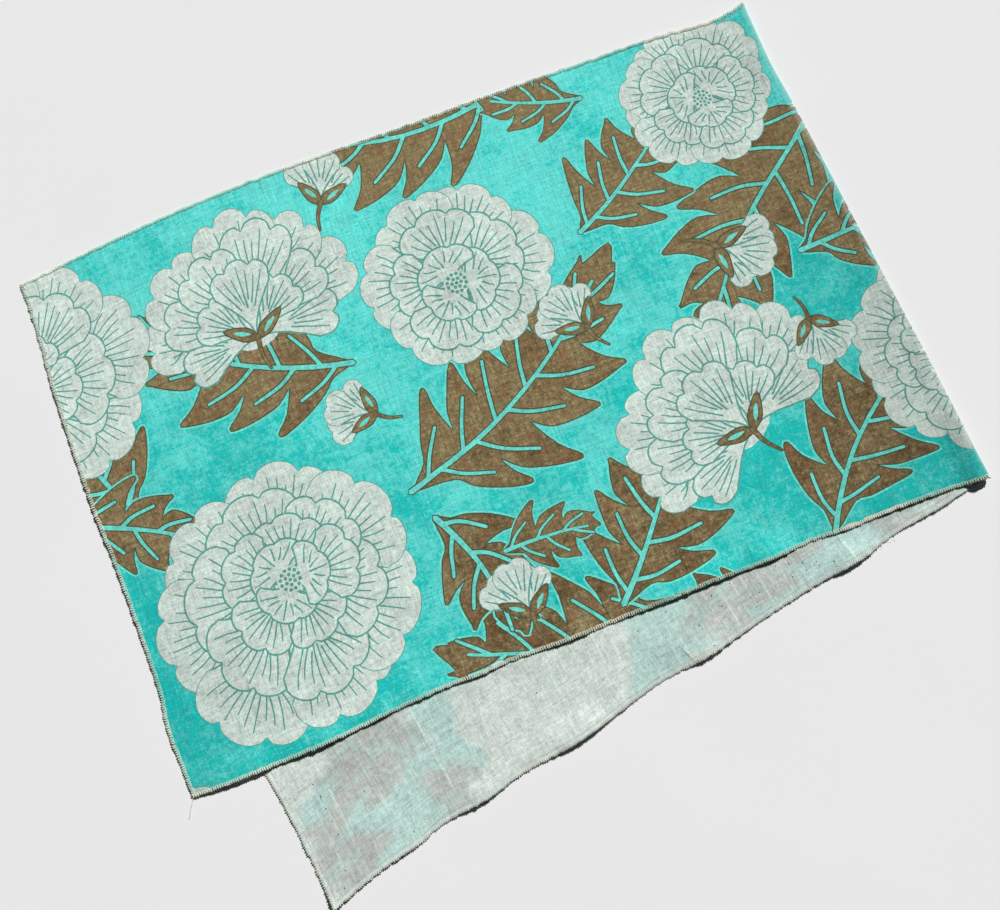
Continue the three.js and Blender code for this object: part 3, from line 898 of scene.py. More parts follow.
def on_rim(points):
    """Numbers of the points on the cut edge, in order round it, front edge first."""
    s, t = points.T
    near = 1e-3
    sides = (
        (np.abs(t) < near, s),
        (np.abs(s - LENGTH) < near, LENGTH + t),
        (np.abs(t - WIDTH) < near, LENGTH + WIDTH + (LENGTH - s)),
        (np.abs(s) < near, 2 * LENGTH + WIDTH + (WIDTH - t)),
    )
    round_way = np.full(len(points), -1.0)
    for here, way in reversed(sides):
        round_way[here] = way[here]
    found = np.flatnonzero(round_way >= 0)
    return found[np.argsort(round_way[found])]


def hole_shapes():
    shapes = []
    draw = random.Random(53)
    for s, t, turn, count, spacing in NEEDLE_HOLES:
        c, n = math.cos(math.radians(turn)), math.sin(math.radians(turn))
        for k in range(count):
            x = s + c * spacing * k + draw.uniform(-0.4, 0.4)
            y = t + n * spacing * k + draw.uniform(-0.4, 0.4)
            shapes.append((DARK, disc(HOLE_RADIUS * draw.uniform(0.8, 1.2), x, y, 6)))
    return shapes


# ======================================================================================================
# Meshes
# ======================================================================================================

def new_object(name, points, faces, smooth=True):
    """An object at the origin from points in mm."""
    mesh = bpy.data.meshes.new(name)
    points = np.asarray(points, np.float32) * np.float32(MM)
    faces = np.asarray(faces, np.int32)
    corners = faces.shape[1]
    mesh.vertices.add(len(points))
    mesh.vertices.foreach_set("co", points.ravel())
    mesh.loops.add(faces.size)
    mesh.loops.foreach_set("vertex_index", faces.ravel())
    mesh.polygons.add(len(faces))
    mesh.polygons.foreach_set("loop_start", np.arange(0, faces.size, corners, dtype=np.int32))
    mesh.update(calc_edges=True)
    mesh.validate()
    mesh.polygons.foreach_set("use_smooth", np.full(len(faces), smooth))
    obj = bpy.data.objects.new(name, mesh)
    bpy.context.scene.collection.objects.link(obj)
    return obj


def through_colours(points, shapes, settings):
    """Colour of the wrong side: the print shows through it, paler and blurred."""
    step = THROUGH_STEP
    s = np.arange(0, LENGTH + step, step)
    t = np.arange(0, WIDTH + step, step)
    x, y = np.meshgrid(s, t)
    inks = inks_at(np.stack([x.ravel(), y.ravel()], 1), shapes)
    table = np.array([getattr(settings, "through_" + name) for name in INK_NAMES])
    image = table[inks].reshape(len(t), len(s), 3)
    for _ in range(THROUGH_BLURS):
        image = (np.roll(image, 1, 0) + 2 * image + np.roll(image, -1, 0)) / 4
        image = (np.roll(image, 1, 1) + 2 * image + np.roll(image, -1, 1)) / 4
    column = np.clip(points[:, 0] / step, 0, len(s) - 1.001)
    row = np.clip(points[:, 1] / step, 0, len(t) - 1.001)
    i, j = row.astype(int), column.astype(int)
    u, v = (column - j)[:, None], (row - i)[:, None]
    return ((image[i, j] * (1 - u) + image[i, j + 1] * u) * (1 - v)
            + (image[i + 1, j] * (1 - u) + image[i + 1, j + 1] * u) * v)


def make_cloth(settings):
    """The whole cloth as one thin closed shell, printed on one side."""
    shapes = print_shapes()
    rim = rim_points()
    face_places, face_triangles, face_inks = triangulated(shapes, rim, print_side_points())
    face_rim = on_rim(face_places)
    rim = [tuple(p) for p in face_places[face_rim]]
    back_places, back_triangles, back_inks = triangulated(hole_shapes(), rim, wrong_side_points())
    back_rim = on_rim(back_places)
    if len(face_rim) != len(back_rim):
        raise RuntimeError(f"the two sides of the cloth differ at the rim: {len(face_rim)}, {len(back_rim)}")

    count = len(face_places)
    places = np.concatenate([face_places, back_places])
    height = np.concatenate([np.full(count, THICK), np.zeros(len(back_places))])
    points = cloth_points(places[:, 0], places[:, 1], height)
    inner = np.roll(face_rim, -1)
    outer = np.roll(back_rim, -1)
    walls = np.concatenate([np.stack([inner, face_rim, count + back_rim], 1),
                            np.stack([inner, count + back_rim, count + outer], 1)])
    triangles = np.concatenate([face_triangles, count + back_triangles[:, ::-1], walls])
    cloth = new_object("printed_cloth", points, triangles)
    mesh = cloth.data

    ink = np.concatenate([face_inks, back_inks, np.full(len(walls), GROUND)]).astype(np.float32)
    mesh.attributes.new("ink", "FLOAT", "FACE").data.foreach_set("value", ink)
    through = np.ones((len(places), 4), np.float32)
    through[:, :3] = through_colours(places, shapes, settings)
    mesh.attributes.new("through", "FLOAT_COLOR", "POINT").data.foreach_set("color", through.ravel())
    side = np.zeros(len(triangles), np.int32)
    side[len(face_triangles):len(face_triangles) + len(back_triangles)] = 1
    mesh.polygons.foreach_set("material_index", side)
    uv = np.stack([places[:, 0] / LENGTH, places[:, 1] / LENGTH], 1)
    uv[count:, 1] += WRONG_SIDE_UV
    layer = mesh.uv_layers.new(name="weave")
    layer.data.foreach_set("uv", uv[triangles.ravel()].astype(np.float32).ravel())
    return cloth


# Sides of the cut, each sewn on its own. Rows are (start, direction, inward direction, length).
CUT_SIDES = (
    ((0.0, 0.0), (1, 0), (0, 1), LENGTH),
    ((LENGTH, 0.0), (0, 1), (-1, 0), WIDTH),
    ((LENGTH, WIDTH), (-1, 0), (0, -1), LENGTH),
    ((0.0, WIDTH), (0, -1), (1, 0), WIDTH),
)


def tube(points, radius, reference):
    """Vertices and faces of a thread along points; reference is a direction that it never follows."""
    radius = np.broadcast_to(radius, len(points))[:, None, None]
    ahead = np.gradient(points, axis=0)
    ahead /= np.linalg.norm(ahead, axis=1)[:, None]
    first = np.cross(ahead, reference)
    first /= np.maximum(np.linalg.norm(first, axis=1), 1e-9)[:, None]
    second = np.cross(ahead, first)
    sides = THREAD_SIDES
    turns = np.arange(sides) * 2 * math.pi / sides
    rings = (points[:, None, :] + radius * (first[:, None, :] * np.cos(turns)[None, :, None]
                                            + second[:, None, :] * np.sin(turns)[None, :, None]))
    vertices = rings.reshape(-1, 3)
    n = len(points)
    k, j = np.meshgrid(np.arange(n - 1), np.arange(sides), indexing="ij")
    after = (j + 1) % sides
    a, b = k * sides + j, k * sides + after
    c, d = (k + 1) * sides + after, (k + 1) * sides + j
    faces = np.stack([a, b, c, d], -1).reshape(-1, 4)
    caps = np.array([np.arange(sides)[::-1], (n - 1) * sides + np.arange(sides)])
    return vertices, np.concatenate([faces, caps])


def joined(parts):
    """Vertices and faces of several parts as one."""
    vertices = []
    faces = []
    count = 0
    for v, f in parts:
        vertices.append(v)
        faces.append(f + count)
        count += len(v)
    return np.concatenate(vertices), np.concatenate(faces)


def seam_path(side, steps, height):
    """Points along one side of the cut: steps are (distance along, distance in) rows."""
    start, ahead, inward, _ = side
    along, depth = np.array(steps).T
    s = start[0] + ahead[0] * along + inward[0] * depth
    t = start[1] + ahead[1] * along + inward[1] * depth
    return cloth_points(s, t, np.asarray(height, float))


def run_directions(points):
    """Direction of the run for each point of a zigzag: the way from well before it to well after it."""
    n = len(points)
    i = np.arange(n)
    way = points[np.minimum(i + RUN_SPAN, n - 1)] - points[np.maximum(i - RUN_SPAN, 0)]
    return way / np.maximum(np.linalg.norm(way, axis=1), 1e-9)[:, None]


# One stitch of a looper. Rows are (share of the pitch along, share of the bite in, distance past the
# cut edge, place between the cloth's middle and the looper's height).
LOOP = (
    (0.26, 1.0, 0.0, 1.0), (0.34, 0.5, 0.0, 1.15), (0.36, 0.0, 0.10, 1.0), (0.42, 0.0, 0.34, 0.4),
    (0.54, 0.0, 0.36, 0.4), (0.60, 0.0, 0.10, 1.0), (0.62, 0.5, 0.0, 1.15), (0.72, 1.0, 0.0, 1.0),
)


def looper(side, pitch, bite, up, radius, slack, seed):
    """One looper thread: from the needle line out over the cut edge and back, once a stitch."""
    draw = random.Random(seed)
    start, ahead, _, length = side
    steps = []
    heights = []
    radii = []
    phase = 0.0
    for k in range(int(length / pitch)):
        u = (k + draw.uniform(-0.10, 0.10)) * pitch
        deep = bite * draw.uniform(0.90, 1.10)
        phase += 2 * math.pi * pitch / BUNCH * draw.uniform(0.8, 1.2)
        on_lower = start[0] + ahead[0] * u > UPPER_LENGTH[0]
        bunched = 1 if on_lower else TIGHT
        loose = 1 + slack * (draw.random() ** 2 / 2 + max(math.sin(phase), 0) * bunched)
        for share, inward, past, raised in LOOP:
            steps.append((u + share * pitch, deep * inward - past * loose))
            heights.append(THICK / 2 + (up - THICK / 2) * raised)
            radii.append(radius * (1 + LOOSE_SWELL * past * loose * bunched))
    points = seam_path(side, steps, heights)
    points[:, 2] = np.maximum(points[:, 2], radii)
    return tube(points, radii, run_directions(points))


def needle_line(side, pitch, depth, up, radius, seed):
    """The straight thread: it rises between stitches and dips at each one."""
    draw = random.Random(seed)
    steps = []
    heights = []
    for k in range(2 * int(side[3] / pitch)):
        steps.append((k * pitch / 2, depth + draw.uniform(-0.08, 0.08)))
        heights.append(up + (0.12 if k % 2 else -0.12) * (1 if up > 0 else -1))
    points = seam_path(side, steps, heights)
    points[:, 2] = np.maximum(points[:, 2], radius)
    return tube(points, radius, np.array([0.0, 0.0, 1.0]))


def make_edging(settings):
    """Overlocking round the whole cut: one mesh for the print side's threads, one for the wrong side's."""
    pitch = settings.stitch_pitch / MM
    above = THICK + THREAD_RADIUS * 0.7
    below = -FINE_RADIUS * 0.4
    face_parts = []
    back_parts = []
    for number, side in enumerate(CUT_SIDES):
        face_parts.append(looper(side, pitch, PRINT_BITE, above, THREAD_RADIUS, PRINT_SLACK, 61 + number))
        face_parts.append(needle_line(side, pitch, PRINT_BITE, above, FINE_RADIUS, 71 + number))
        back_parts.append(looper(side, pitch, WRONG_BITE, below, FINE_RADIUS, WRONG_SLACK, 81 + number))
        back_parts.append(needle_line(side, pitch, WRONG_BITE, below, FINE_RADIUS, 91 + number))
    face = new_object("edging_print_side", *joined(face_parts))
    back = new_object("edging_wrong_side", *joined(back_parts))
    return face, back


# Loose threads. Rows are (name, s, t, points as (dx, dy, z) from there, radius).
LOOSE_THREADS = (
    ("thread_tail", 0.6, 0.8, ((0, 0, 1.4), (-0.9, -1.8, 1.9), (-2.1, -3.9, 1.7), (-3.6, -6.0, 1.6),
                               (-4.9, -8.2, 1.3), (-6.1, -10.4, 0.9), (-7.6, -12.2, 0.22)), 0.21),
    ("fray_1", 600.0, 1.2, ((0, 0, 0.9), (0.8, -1.4, 0.9), (2.2, -2.6, 0.5), (3.8, -3.2, 0.12)), 0.07),
    ("fray_2", 603.0, 1.0, ((0, 0, 0.9), (0.2, -1.6, 1.1), (-0.6, -3.2, 0.6), (-1.8, -4.4, 0.12)), 0.07),
    ("fray_3", 597.0, 1.0, ((0, 0, 0.9), (1.2, -1.0, 1.3), (2.4, -2.8, 0.9), (2.8, -4.6, 0.12)), 0.07),
    ("fray_4", 607.0, 1.0, ((0, 0, 0.9), (-1.0, -1.2, 0.8), (-1.6, -2.8, 0.2), (-3.2, -3.4, 0.12)), 0.07),
)


def make_loose_threads():
    made = []
    for name, s, t, steps, radius in LOOSE_THREADS:
        foot = cloth_points(np.array([s]), np.array([t]), np.array([THICK / 2]))[0]
        path = curve([(foot[0] + x, foot[1] + y, z) for x, y, z in steps], 5)
        made.append(new_object(name, *tube(path, radius, np.array([0.0, 0.0, 1.0]))))
    return made


# ======================================================================================================
# Materials
# ======================================================================================================

class Nodes:
    """A material's node tree, with short calls for its nodes."""

    def __init__(self, name):
        self.material = bpy.data.materials.new(name)
        self.material.use_nodes = True
        self.tree = self.material.node_tree
        self.shader = self.tree.nodes["Principled BSDF"]

    def add(self, kind, inputs=None, **settings):
        node = self.tree.nodes.new(kind)
        for key, value in settings.items():
            setattr(node, key, value)
        for key, value in (inputs or {}).items():
            if isinstance(value, bpy.types.NodeSocket):
                self.tree.links.new(value, node.inputs[key])
            else:
                node.inputs[key].default_value = value
        return node

    def math(self, operation, a, b=0.0, c=0.0):
        return self.add("ShaderNodeMath", {0: a, 1: b, 2: c}, operation=operation).outputs[0]

    def mix(self, share, a, b, blend="MIX"):
        node = self.add("ShaderNodeMix", {"Factor": share}, data_type="RGBA", blend_type=blend)
        for socket, value in ((node.inputs[6], a), (node.inputs[7], b)):
            if isinstance(value, bpy.types.NodeSocket):
                self.tree.links.new(value, socket)
            else:
                socket.default_value = value
        return node.outputs[2]

    def noise(self, where, scale, detail=2.0, rough=0.5):
        inputs = {"Vector": where, "Scale": scale, "Detail": detail, "Roughness": rough}
        return self.add("ShaderNodeTexNoise", inputs).outputs["Fac"]

    def scaled(self, where, x, y):
        """The place on the cloth in mm, stretched."""
        scale = (1000 * x, 1000 * y, 1)
        return self.add("ShaderNodeMapping", {"Vector": where, "Scale": scale}).outputs[0]

    def link(self, socket, name):
        self.tree.links.new(socket, self.shader.inputs[name])


def weave_height(n, where):
    """Height of a plain weave: the two thread directions pass over each other by turns."""
    split = n.add("ShaderNodeSeparateXYZ", {"Vector": where}).outputs
    turns = 1000 * 2 * math.pi / WEAVE_PITCH
    warp = n.math("SINE", n.math("MULTIPLY", split[0], turns))
    weft = n.math("SINE", n.math("MULTIPLY", split[1], turns))
    return n.math("MULTIPLY", warp, weft)


def uneven_threads(n, where):
    """Streaks of thick and thin yarn in both directions, around 0."""
    along = n.noise(n.scaled(where, 0.05, 0.8), 1.0, 4.0, 0.9)
    across = n.noise(n.scaled(where, 0.8, 0.05), 1.0, 4.0, 0.9)
    return n.math("SUBTRACT", n.math("ADD", along, across), 1.0)


def blotches(n, where, coarsest, octaves, offset):
    """Noise around 0 that is as strong in its finest octave as in its coarsest, which is in mm."""
    moved = n.add("ShaderNodeMapping", {"Vector": where, "Location": (offset, offset / 2, 0)}).outputs[0]
    place = n.scaled(moved, 1 / coarsest, 1 / coarsest)
    return n.math("SUBTRACT", n.noise(place, 1.0, octaves, 0.92), 0.5)


def weighted(n, start, *terms):
    """A number plus a weighted sum of (socket, weight) terms."""
    total = start
    for socket, weight in terms:
        total = n.math("MULTIPLY_ADD", socket, weight, total)
    return total


def cotton_bump(n, where, threads):
    """Weave, yarn and fine crumpling as bump."""
    crumple = n.noise(n.scaled(where, 0.14, 0.14), 1.0, 5.0, 0.72)
    weave = n.math("MULTIPLY", weave_height(n, where), 0.06)
    total = n.math("MULTIPLY_ADD", threads, 0.35, n.math("ADD", crumple, weave))
    inputs = {"Height": total, "Strength": 1.0, "Distance": CRUMPLE_HEIGHT}
    n.link(n.add("ShaderNodeBump", inputs).outputs[0], "Normal")


def brightened(n, colour, factor):
    return n.add("ShaderNodeVectorMath", {0: colour, "Scale": factor}, operation="SCALE").outputs[0]


def cotton_finish(n):
    n.shader.inputs["Roughness"].default_value = 0.88
    n.shader.inputs["Sheen Weight"].default_value = 0.06
    n.shader.inputs["Sheen Roughness"].default_value = 0.5
    n.shader.inputs["Specular IOR Level"].default_value = 0.25


def ink_colour(n, ink, settings):
    """The flat colour of each face's ink."""
    ramp = n.add("ShaderNodeValToRGB", {"Fac": n.math("MULTIPLY_ADD", ink, 1 / 6, 1 / 12)})
    ramp.color_ramp.interpolation = "CONSTANT"
    stops = ramp.color_ramp.elements
    while len(stops) < len(INK_NAMES):
        stops.new(len(stops) / 6)
    for k, name in enumerate(INK_NAMES):
        stops[k].position = k / 6
        stops[k].color = (*getattr(settings, "ink_" + name), 1)
    return ramp.outputs[0]


def of_ink(n, ink, number):
    """1 on the faces of one ink, 0 on the others."""
    return n.math("COMPARE", ink, number, 0.4)


def moved_to(n, colour, other, share, only):
    """The colour moved towards another by a clamped share, on the faces of one ink."""
    share = n.add("ShaderNodeClamp", {"Value": share}).outputs[0]
    return n.mix(n.math("MULTIPLY", share, only), colour, (*other, 1))


def across_range(n, value, low, high):
    """0 up to `low` and 1 from `high` on, smooth between; both in mm."""
    inputs = {"Value": value, "From Min": low * MM, "From Max": high * MM}
    return n.add("ShaderNodeMapRange", inputs, interpolation_type="SMOOTHSTEP").outputs[0]


def edging_share(n, s, t):
    """Two shares: 1 under the edging's threads, and 1 along the row of holes that its needle left, where
    shade is painted.
    """
    from_sides = n.math("MINIMUM", t, n.math("SUBTRACT", WIDTH * MM, t))
    from_ends = n.math("MINIMUM", s, n.math("SUBTRACT", LENGTH * MM, s))
    depth = n.math("MINIMUM", from_sides, from_ends)
    covered = n.math("SUBTRACT", 1.0, across_range(n, depth, *EDGING_COVERS))
    row_starts = across_range(n, depth, *NEEDLE_ROW_SHADE[:2])
    row = n.math("SUBTRACT", row_starts, across_range(n, depth, *NEEDLE_ROW_SHADE[2:]))
    return covered, row


def at_fold_line(n, s, t):
    """1 on the fold line, 0 a little way off."""
    turn = (UPPER_LENGTH[1] - UPPER_LENGTH[0]) / WIDTH
    line = n.math("MULTIPLY_ADD", t, turn, UPPER_LENGTH[0] * MM)
    away = n.math("ABSOLUTE", n.math("SUBTRACT", s, line))
    return n.math("SUBTRACT", 1.0, across_range(n, away, *FOLD_HIGHLIGHT_REACH))


def painted_shade(n, s, front):
    """Painted shade: a factor on the colour that darkens it towards the fold and at the free end's front
    corner.
    """
    at_fold = n.math("MULTIPLY", across_range(n, s, *SHADE_PAINTED_AT_FOLD), n.math("MULTIPLY_ADD", front, 0.17, 0.13))
    at_corner = n.math("MULTIPLY", across_range(n, s, *SHADE_PAINTED_AT_CORNER), n.math("POWER", front, 2.0))
    return n.math("SUBTRACT", n.math("SUBTRACT", 1.0, at_fold), n.math("MULTIPLY", at_corner, 0.14))


def printed_cotton(settings):
    n = Nodes("printed_cotton")
    where = n.add("ShaderNodeUVMap", uv_map="weave").outputs[0]
    ink = n.add("ShaderNodeAttribute", attribute_name="ink").outputs["Fac"]
    colour = ink_colour(n, ink, settings)
    s, t, _ = n.add("ShaderNodeSeparateXYZ", {"Vector": where}).outputs
    front = n.math("MULTIPLY_ADD", t, -1000 / WIDTH, 1.0)
    threads = uneven_threads(n, where)
    soft = blotches(n, where, 40.0, 6.0, 0.0)
    grain = blotches(n, where, 3.2, 3.0, 0.2)

    # The ground ink turns deeper towards the fold, the free end and the front edge, and in broad patches.
    turn = n.math("MULTIPLY", s, 2 * math.pi / (DEEPENING_REPEAT * MM))
    at_ends = n.math("POWER", n.math("MULTIPLY_ADD", n.math("COSINE", turn), 0.5, 0.5), 2.0)
    patches = n.math("SUBTRACT", n.noise(n.scaled(where, 1 / PATCH, 1 / PATCH), 1.0, 1.0), 0.5)
    soaked = weighted(n, 0.12, (grain, 3.8), (soft, 5.2), (front, 0.50), (at_ends, 0.36), (patches, 1.1))
    colour = moved_to(n, colour, settings.ink_deep_ground, soaked, of_ink(n, ink, GROUND))

    tinged = weighted(n, 0.22, (blotches(n, where, 6.0, 4.0, 0.8), 4.5))
    colour = moved_to(n, colour, settings.ink_tinged_petal, tinged, of_ink(n, ink, PETAL))

    leaves = of_ink(n, ink, LEAF)
    worn = weighted(n, 0.0, (soft, -3.4), (threads, 2.0), (grain, 2.0))
    colour = moved_to(n, colour, settings.ink_worn_leaf, worn, leaves)
    soaked = weighted(n, -0.26, (front, 0.75), (grain, -2.0), (soft, 6.0))
    colour = moved_to(n, colour, settings.ink_deep_leaf, soaked, leaves)
    ruddy = weighted(n, 0.1, (blotches(n, where, 9.0, 4.0, 0.5), 5.0))
    colour = moved_to(n, colour, settings.ink_ruddy_leaf, ruddy, leaves)

    # Painted highlight along the fold line: the colour is moved paler there.
    colour = moved_to(n, colour, settings.painted_fold_highlight, n.math("MULTIPLY", at_fold_line(n, s, t), 0.34), 1.0)
    bright = weighted(n, 1.0, (threads, 1.15), (grain, 1.20), (soft, 1.05))
    # Painted shade: the cloth darkens towards the fold and at the free end's front corner.
    bright = n.math("MULTIPLY", bright, painted_shade(n, s, front))
    n.link(brightened(n, colour, bright), "Base Color")
    cotton_finish(n)
    cotton_bump(n, where, threads)
    return n.material


def cotton_wrong_side(settings):
    n = Nodes("cotton_wrong_side")
    where = n.add("ShaderNodeUVMap", uv_map="weave").outputs[0]
    through = n.add("ShaderNodeAttribute", attribute_name="through").outputs["Color"]
    ink = n.add("ShaderNodeAttribute", attribute_name="ink").outputs["Fac"]
    threads = uneven_threads(n, where)
    soft = blotches(n, where, 30.0, 5.0, 0.3)
    grain = blotches(n, where, 3.2, 3.0, 0.7)
    streaks = n.noise(n.scaled(where, 0.20, 0.012), 1.0, 3.0, 0.75)
    bare = n.math("MULTIPLY_ADD", streaks, 5.0, -2.75)
    colour = moved_to(n, through, settings.through_bare, n.math("MULTIPLY", bare, 0.7), 1.0)
    s, t, _ = n.add("ShaderNodeSeparateXYZ", {"Vector": where}).outputs
    covered, row = edging_share(n, s, n.math("SUBTRACT", t, WRONG_SIDE_UV))
    colour = moved_to(n, colour, settings.covered_edge, n.math("MULTIPLY", covered, 0.24), 1.0)
    # The needle holes are painted dark: painted shade inside each hole.
    colour = moved_to(n, colour, settings.needle_hole_shade, 1.0, of_ink(n, ink, DARK))
    # The row of needle holes is darkened here: painted shade.
    bright = weighted(n, 1.0, (threads, 1.1), (soft, 1.0), (grain, 1.0), (row, -0.17))
    n.link(brightened(n, colour, bright), "Base Color")
    cotton_finish(n)
    cotton_bump(n, where, threads)
    return n.material


def thread_material(name, tone, dull):
    """Spun thread; over long runs it takes on more or less of the dye beside it."""
    n = Nodes(name)
    where = n.add("ShaderNodeTexCoord").outputs["Object"]
    fuzz = n.noise(where, 2600.0, 2.0, 0.6)
    stretch = n.noise(where, 60.0, 2.0, 0.5)
    dyed = n.math("MULTIPLY_ADD", n.noise(where, 22.0, 3.0, 0.6), 3.0, -1.0)
    colour = moved_to(n, (*tone, 1), dull, dyed, 1.0)
    bright = n.math("MULTIPLY_ADD", fuzz, 0.35, n.math("MULTIPLY_ADD", stretch, 0.2, 0.74))
    n.link(brightened(n, colour, bright), "Base Color")
    n.shader.inputs["Roughness"].default_value = 0.8
    n.shader.inputs["Sheen Weight"].default_value = 0.1
    inputs = {"Height": fuzz, "Strength": 0.5, "Distance": 0.0001}
    n.link(n.add("ShaderNodeBump", inputs).outputs[0], "Normal")
    return n.material


def table_top(settings):
    n = Nodes("table_top")
    where = n.add("ShaderNodeTexCoord").outputs["Object"]
    soft = n.noise(where, 9.0, 3.0, 0.5)
    tone = tuple(settings.table_colour)
    n.link(brightened(n, tone, n.math("MULTIPLY_ADD", soft, 0.02, 0.99)), "Base Color")
    n.shader.inputs["Roughness"].default_value = 0.75
    n.shader.inputs["Specular IOR Level"].default_value = 0.2
    return n.material


# ======================================================================================================
# Settings, operators and panel
# ======================================================================================================

def colour_property(name, description, red, green, blue):
    return FloatVectorProperty(name=name, description=description, subtype="COLOR", size=3, min=0, max=1,
                               default=srgb(red, green, blue))


class ClothSettings(bpy.types.PropertyGroup):
    ink_ground: colour_property("Ground", "Ink between the motifs", 108, 232, 223)
    ink_deep_ground: colour_property("Deep ground", "Ground ink where it has soaked in", 12, 182, 176)
    ink_deep_leaf: colour_property("Deep leaf", "Leaf ink where it has soaked in", 86, 68, 40)
    ink_worn_leaf: colour_property("Worn leaf", "Leaf ink where it is thin", 170, 155, 114)
    ink_ruddy_leaf: colour_property("Ruddy leaf", "Leaf ink where it is redder", 136, 98, 68)
    ink_petal: colour_property("Petal", "Cloth left bare for the petals", 208, 220, 211)
    ink_tinged_petal: colour_property("Tinged petal", "Petals where they took a little ink", 194, 220, 211)
    painted_fold_highlight: colour_property("Fold highlight", "Painted highlight along the fold line", 214, 226, 218)
    covered_edge: colour_property("Covered edge", "Thread fluff on the wrong side's edges", 226, 230, 220)
    needle_hole_shade: colour_property("Needle hole", "Dark inside of the holes in the wrong side", 60, 62, 56)
    ink_line: colour_property("Line", "Drawn lines on the petals", 92, 160, 148)
    ink_leaf: colour_property("Leaf", "Ink of the leaves", 131, 117, 80)
    ink_dark: colour_property("Outline", "Where the leaf ink overlaps the ground ink", 70, 84, 62)
    ink_vein: colour_property("Vein", "Lines left light in the leaves", 108, 216, 202)
    through_bare: colour_property("Bare through", "Thick yarn that took no ink", 224, 232, 225)
    through_ground: colour_property("Ground through", "Ground ink seen from the wrong side", 182, 211, 204)
    through_petal: colour_property("Petal through", "Bare cloth seen from the wrong side", 208, 218, 210)
    through_line: colour_property("Line through", "Drawn lines seen from the wrong side", 196, 211, 204)
    through_leaf: colour_property("Leaf through", "Leaf ink seen from the wrong side", 186, 190, 184)
    through_dark: colour_property("Outline through", "Outline seen from the wrong side", 170, 181, 175)
    through_vein: colour_property("Vein through", "Veins seen from the wrong side", 184, 210, 204)


class EdgingSettings(bpy.types.PropertyGroup):
    stitch_pitch: FloatProperty(name="Stitch pitch", description="Distance from stitch to stitch",
                                unit="LENGTH", default=0.00145, min=0.001, max=0.003, precision=5)
    thread_colour: colour_property("Thread", "Colour of the print side's thread", 244, 236, 218)
    dyed_thread: colour_property("Dyed thread", "Where that thread has taken dye", 178, 206, 188)
    fine_thread_colour: colour_property("Fine thread", "Colour of the wrong side's thread", 230, 233, 223)
    dull_thread: colour_property("Dull thread", "Where that thread is dull", 196, 203, 194)


class StageSettings(bpy.types.PropertyGroup):
    table_colour: colour_property("Table", "Colour of the table top", 232, 232, 232)
    sun_strength: FloatProperty(name="Key light", description="Strength of the key light",
                                default=4.25, min=0)
    fill_strength: FloatProperty(name="Fill light", description="Strength of the fill light",
                                 default=0.024, min=0)


class TENUGUI_OT_cloth(bpy.types.Operator):
    """Make the printed cloth as one thin shell"""
    bl_idname = "tenugui.cloth"
    bl_label = "Printed cloth"

    def execute(self, context):
        settings = context.scene.tenugui_cloth
        cloth = make_cloth(settings)
        cloth.data.materials.append(printed_cotton(settings))
        cloth.data.materials.append(cotton_wrong_side(settings))
        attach(cloth, "root")
        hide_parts("upper_stretch", "fold", "lower_stretch")
        return {"FINISHED"}


class TENUGUI_OT_edging(bpy.types.Operator):
    """Sew the overlocked edging round the cloth, and leave its loose threads"""
    bl_idname = "tenugui.edging"
    bl_label = "Overlocked edging"

    def execute(self, context):
        settings = context.scene.tenugui_edging
        thick = thread_material("edging_thread", settings.thread_colour, settings.dyed_thread)
        fine = thread_material("edging_thread_fine", settings.fine_thread_colour, settings.dull_thread)
        threads = [*make_edging(settings), *make_loose_threads()]
        for thread in threads:
            thread.data.materials.append(fine if thread.name == "edging_wrong_side" else thick)
            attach(thread, "root")
        return {"FINISHED"}


def aimed(place, looks, up):
    """Matrix of a camera or light at a place, looking one way."""
    forward = Vector(looks).normalized()
    right = forward.cross(Vector(up)).normalized()
    true_up = right.cross(forward)
    turned = Matrix((right, true_up, -forward)).transposed().to_4x4()
    return Matrix.Translation(Vector(place)) @ turned


def lay_table(settings):
    bpy.ops.object.select_all(action="DESELECT")
    bpy.ops.mesh.primitive_plane_add(size=TABLE_SIZE, location=(0, 0, 0))
    floor = bpy.context.active_object
    floor.name = "table_top"
    floor.data.materials.append(table_top(settings))


def hang_key_light(settings):
    sun = bpy.data.lights.new("key_light", "SUN")
    sun.energy = settings.sun_strength
    sun.angle = math.radians(SUN_WIDTH_DEG)
    azimuth, elevation = math.radians(SUN_AZIMUTH_DEG), math.radians(SUN_ELEVATION_DEG)
    level = math.cos(elevation)
    towards = (math.cos(azimuth) * level, math.sin(azimuth) * level, math.sin(elevation))
    holder = bpy.data.objects.new("key_light", sun)
    holder.matrix_world = aimed(towards, [-x for x in towards], (0, 0, 1))
    bpy.context.scene.collection.objects.link(holder)


def fill_room(settings):
    """Even white light from all round."""
    world = bpy.data.worlds.new("room")
    world.use_nodes = True
    background = world.node_tree.nodes["Background"]
    background.inputs["Color"].default_value = (1, 1, 1, 1)
    background.inputs["Strength"].default_value = settings.fill_strength
    bpy.context.scene.world = world
    bpy.context.scene.view_settings.view_transform = "Standard"


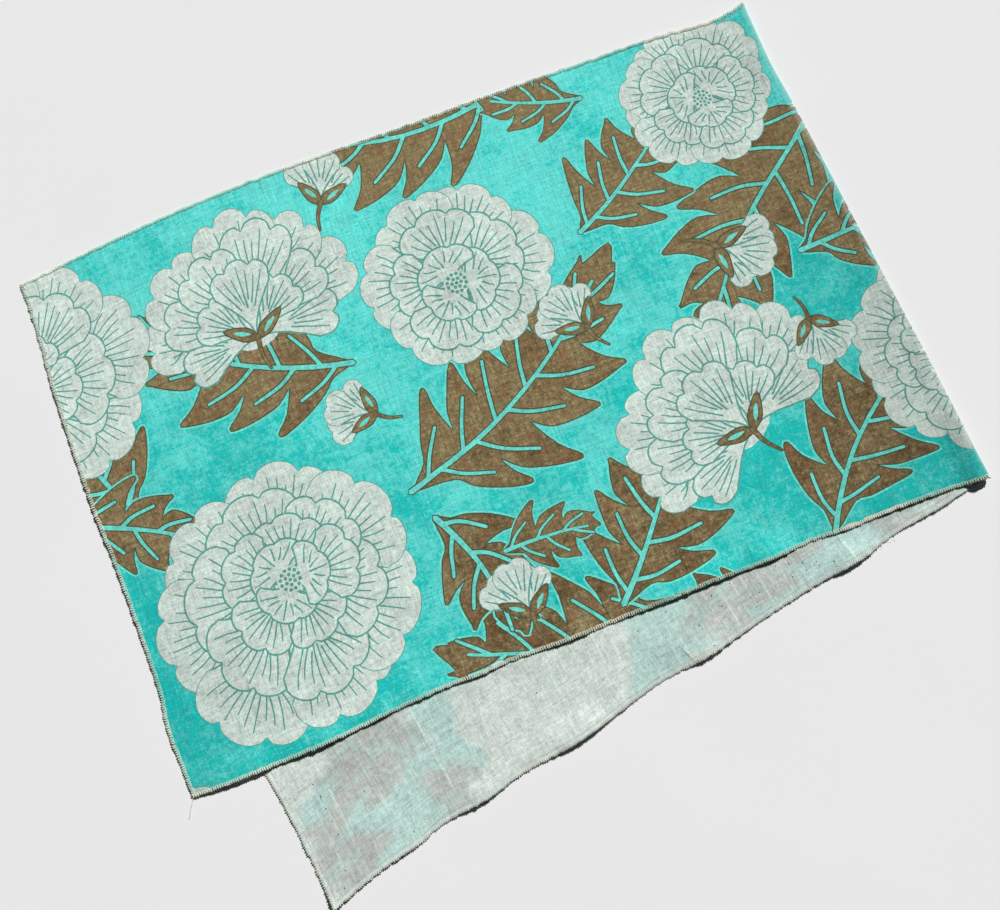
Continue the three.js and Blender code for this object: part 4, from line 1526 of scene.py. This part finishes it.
def set_up_camera():
    camera = bpy.data.cameras.new("camera")
    camera.lens = LENS
    camera.sensor_width = SENSOR
    camera.sensor_fit = "HORIZONTAL"
    camera.clip_start = 0.01
    camera.clip_end = 50
    holder = bpy.data.objects.new("camera", camera)
    holder.matrix_world = aimed(CAMERA_PLACE, CAMERA_LOOKS, CAMERA_UP)
    bpy.context.scene.collection.objects.link(holder)
    bpy.context.scene.camera = holder


class TENUGUI_OT_stage(bpy.types.Operator):
    """Set the table top, the lights and the camera"""
    bl_idname = "tenugui.stage"
    bl_label = "Stage"

    def execute(self, context):
        settings = context.scene.tenugui_stage
        lay_table(settings)
        hang_key_light(settings)
        fill_room(settings)
        set_up_camera()
        return {"FINISHED"}


class TENUGUI_PT_panel(bpy.types.Panel):
    """Lists the towel's pieces and their settings"""
    bl_label = "Tenugui"
    bl_space_type = "VIEW_3D"
    bl_region_type = "UI"
    bl_category = "Tenugui"

    def draw(self, context):
        for operator, settings in ((TENUGUI_OT_cloth, context.scene.tenugui_cloth),
                                   (TENUGUI_OT_edging, context.scene.tenugui_edging),
                                   (TENUGUI_OT_stage, context.scene.tenugui_stage)):
            box = self.layout.box()
            box.operator(operator.bl_idname)
            for name in settings.__annotations__:
                box.prop(settings, name)


CLASSES = (ClothSettings, EdgingSettings, StageSettings, TENUGUI_OT_cloth, TENUGUI_OT_edging,
           TENUGUI_OT_stage, TENUGUI_PT_panel)


def register():
    for one in CLASSES:
        bpy.utils.register_class(one)
    bpy.types.Scene.tenugui_cloth = PointerProperty(type=ClothSettings)
    bpy.types.Scene.tenugui_edging = PointerProperty(type=EdgingSettings)
    bpy.types.Scene.tenugui_stage = PointerProperty(type=StageSettings)


def unregister():
    del bpy.types.Scene.tenugui_stage
    del bpy.types.Scene.tenugui_edging
    del bpy.types.Scene.tenugui_cloth
    for one in reversed(CLASSES):
        bpy.utils.unregister_class(one)


def main():
    register()
    bpy.ops.tenugui.cloth()
    bpy.ops.tenugui.edging()
    bpy.ops.tenugui.stage()


if __name__ == "__main__":
    main()
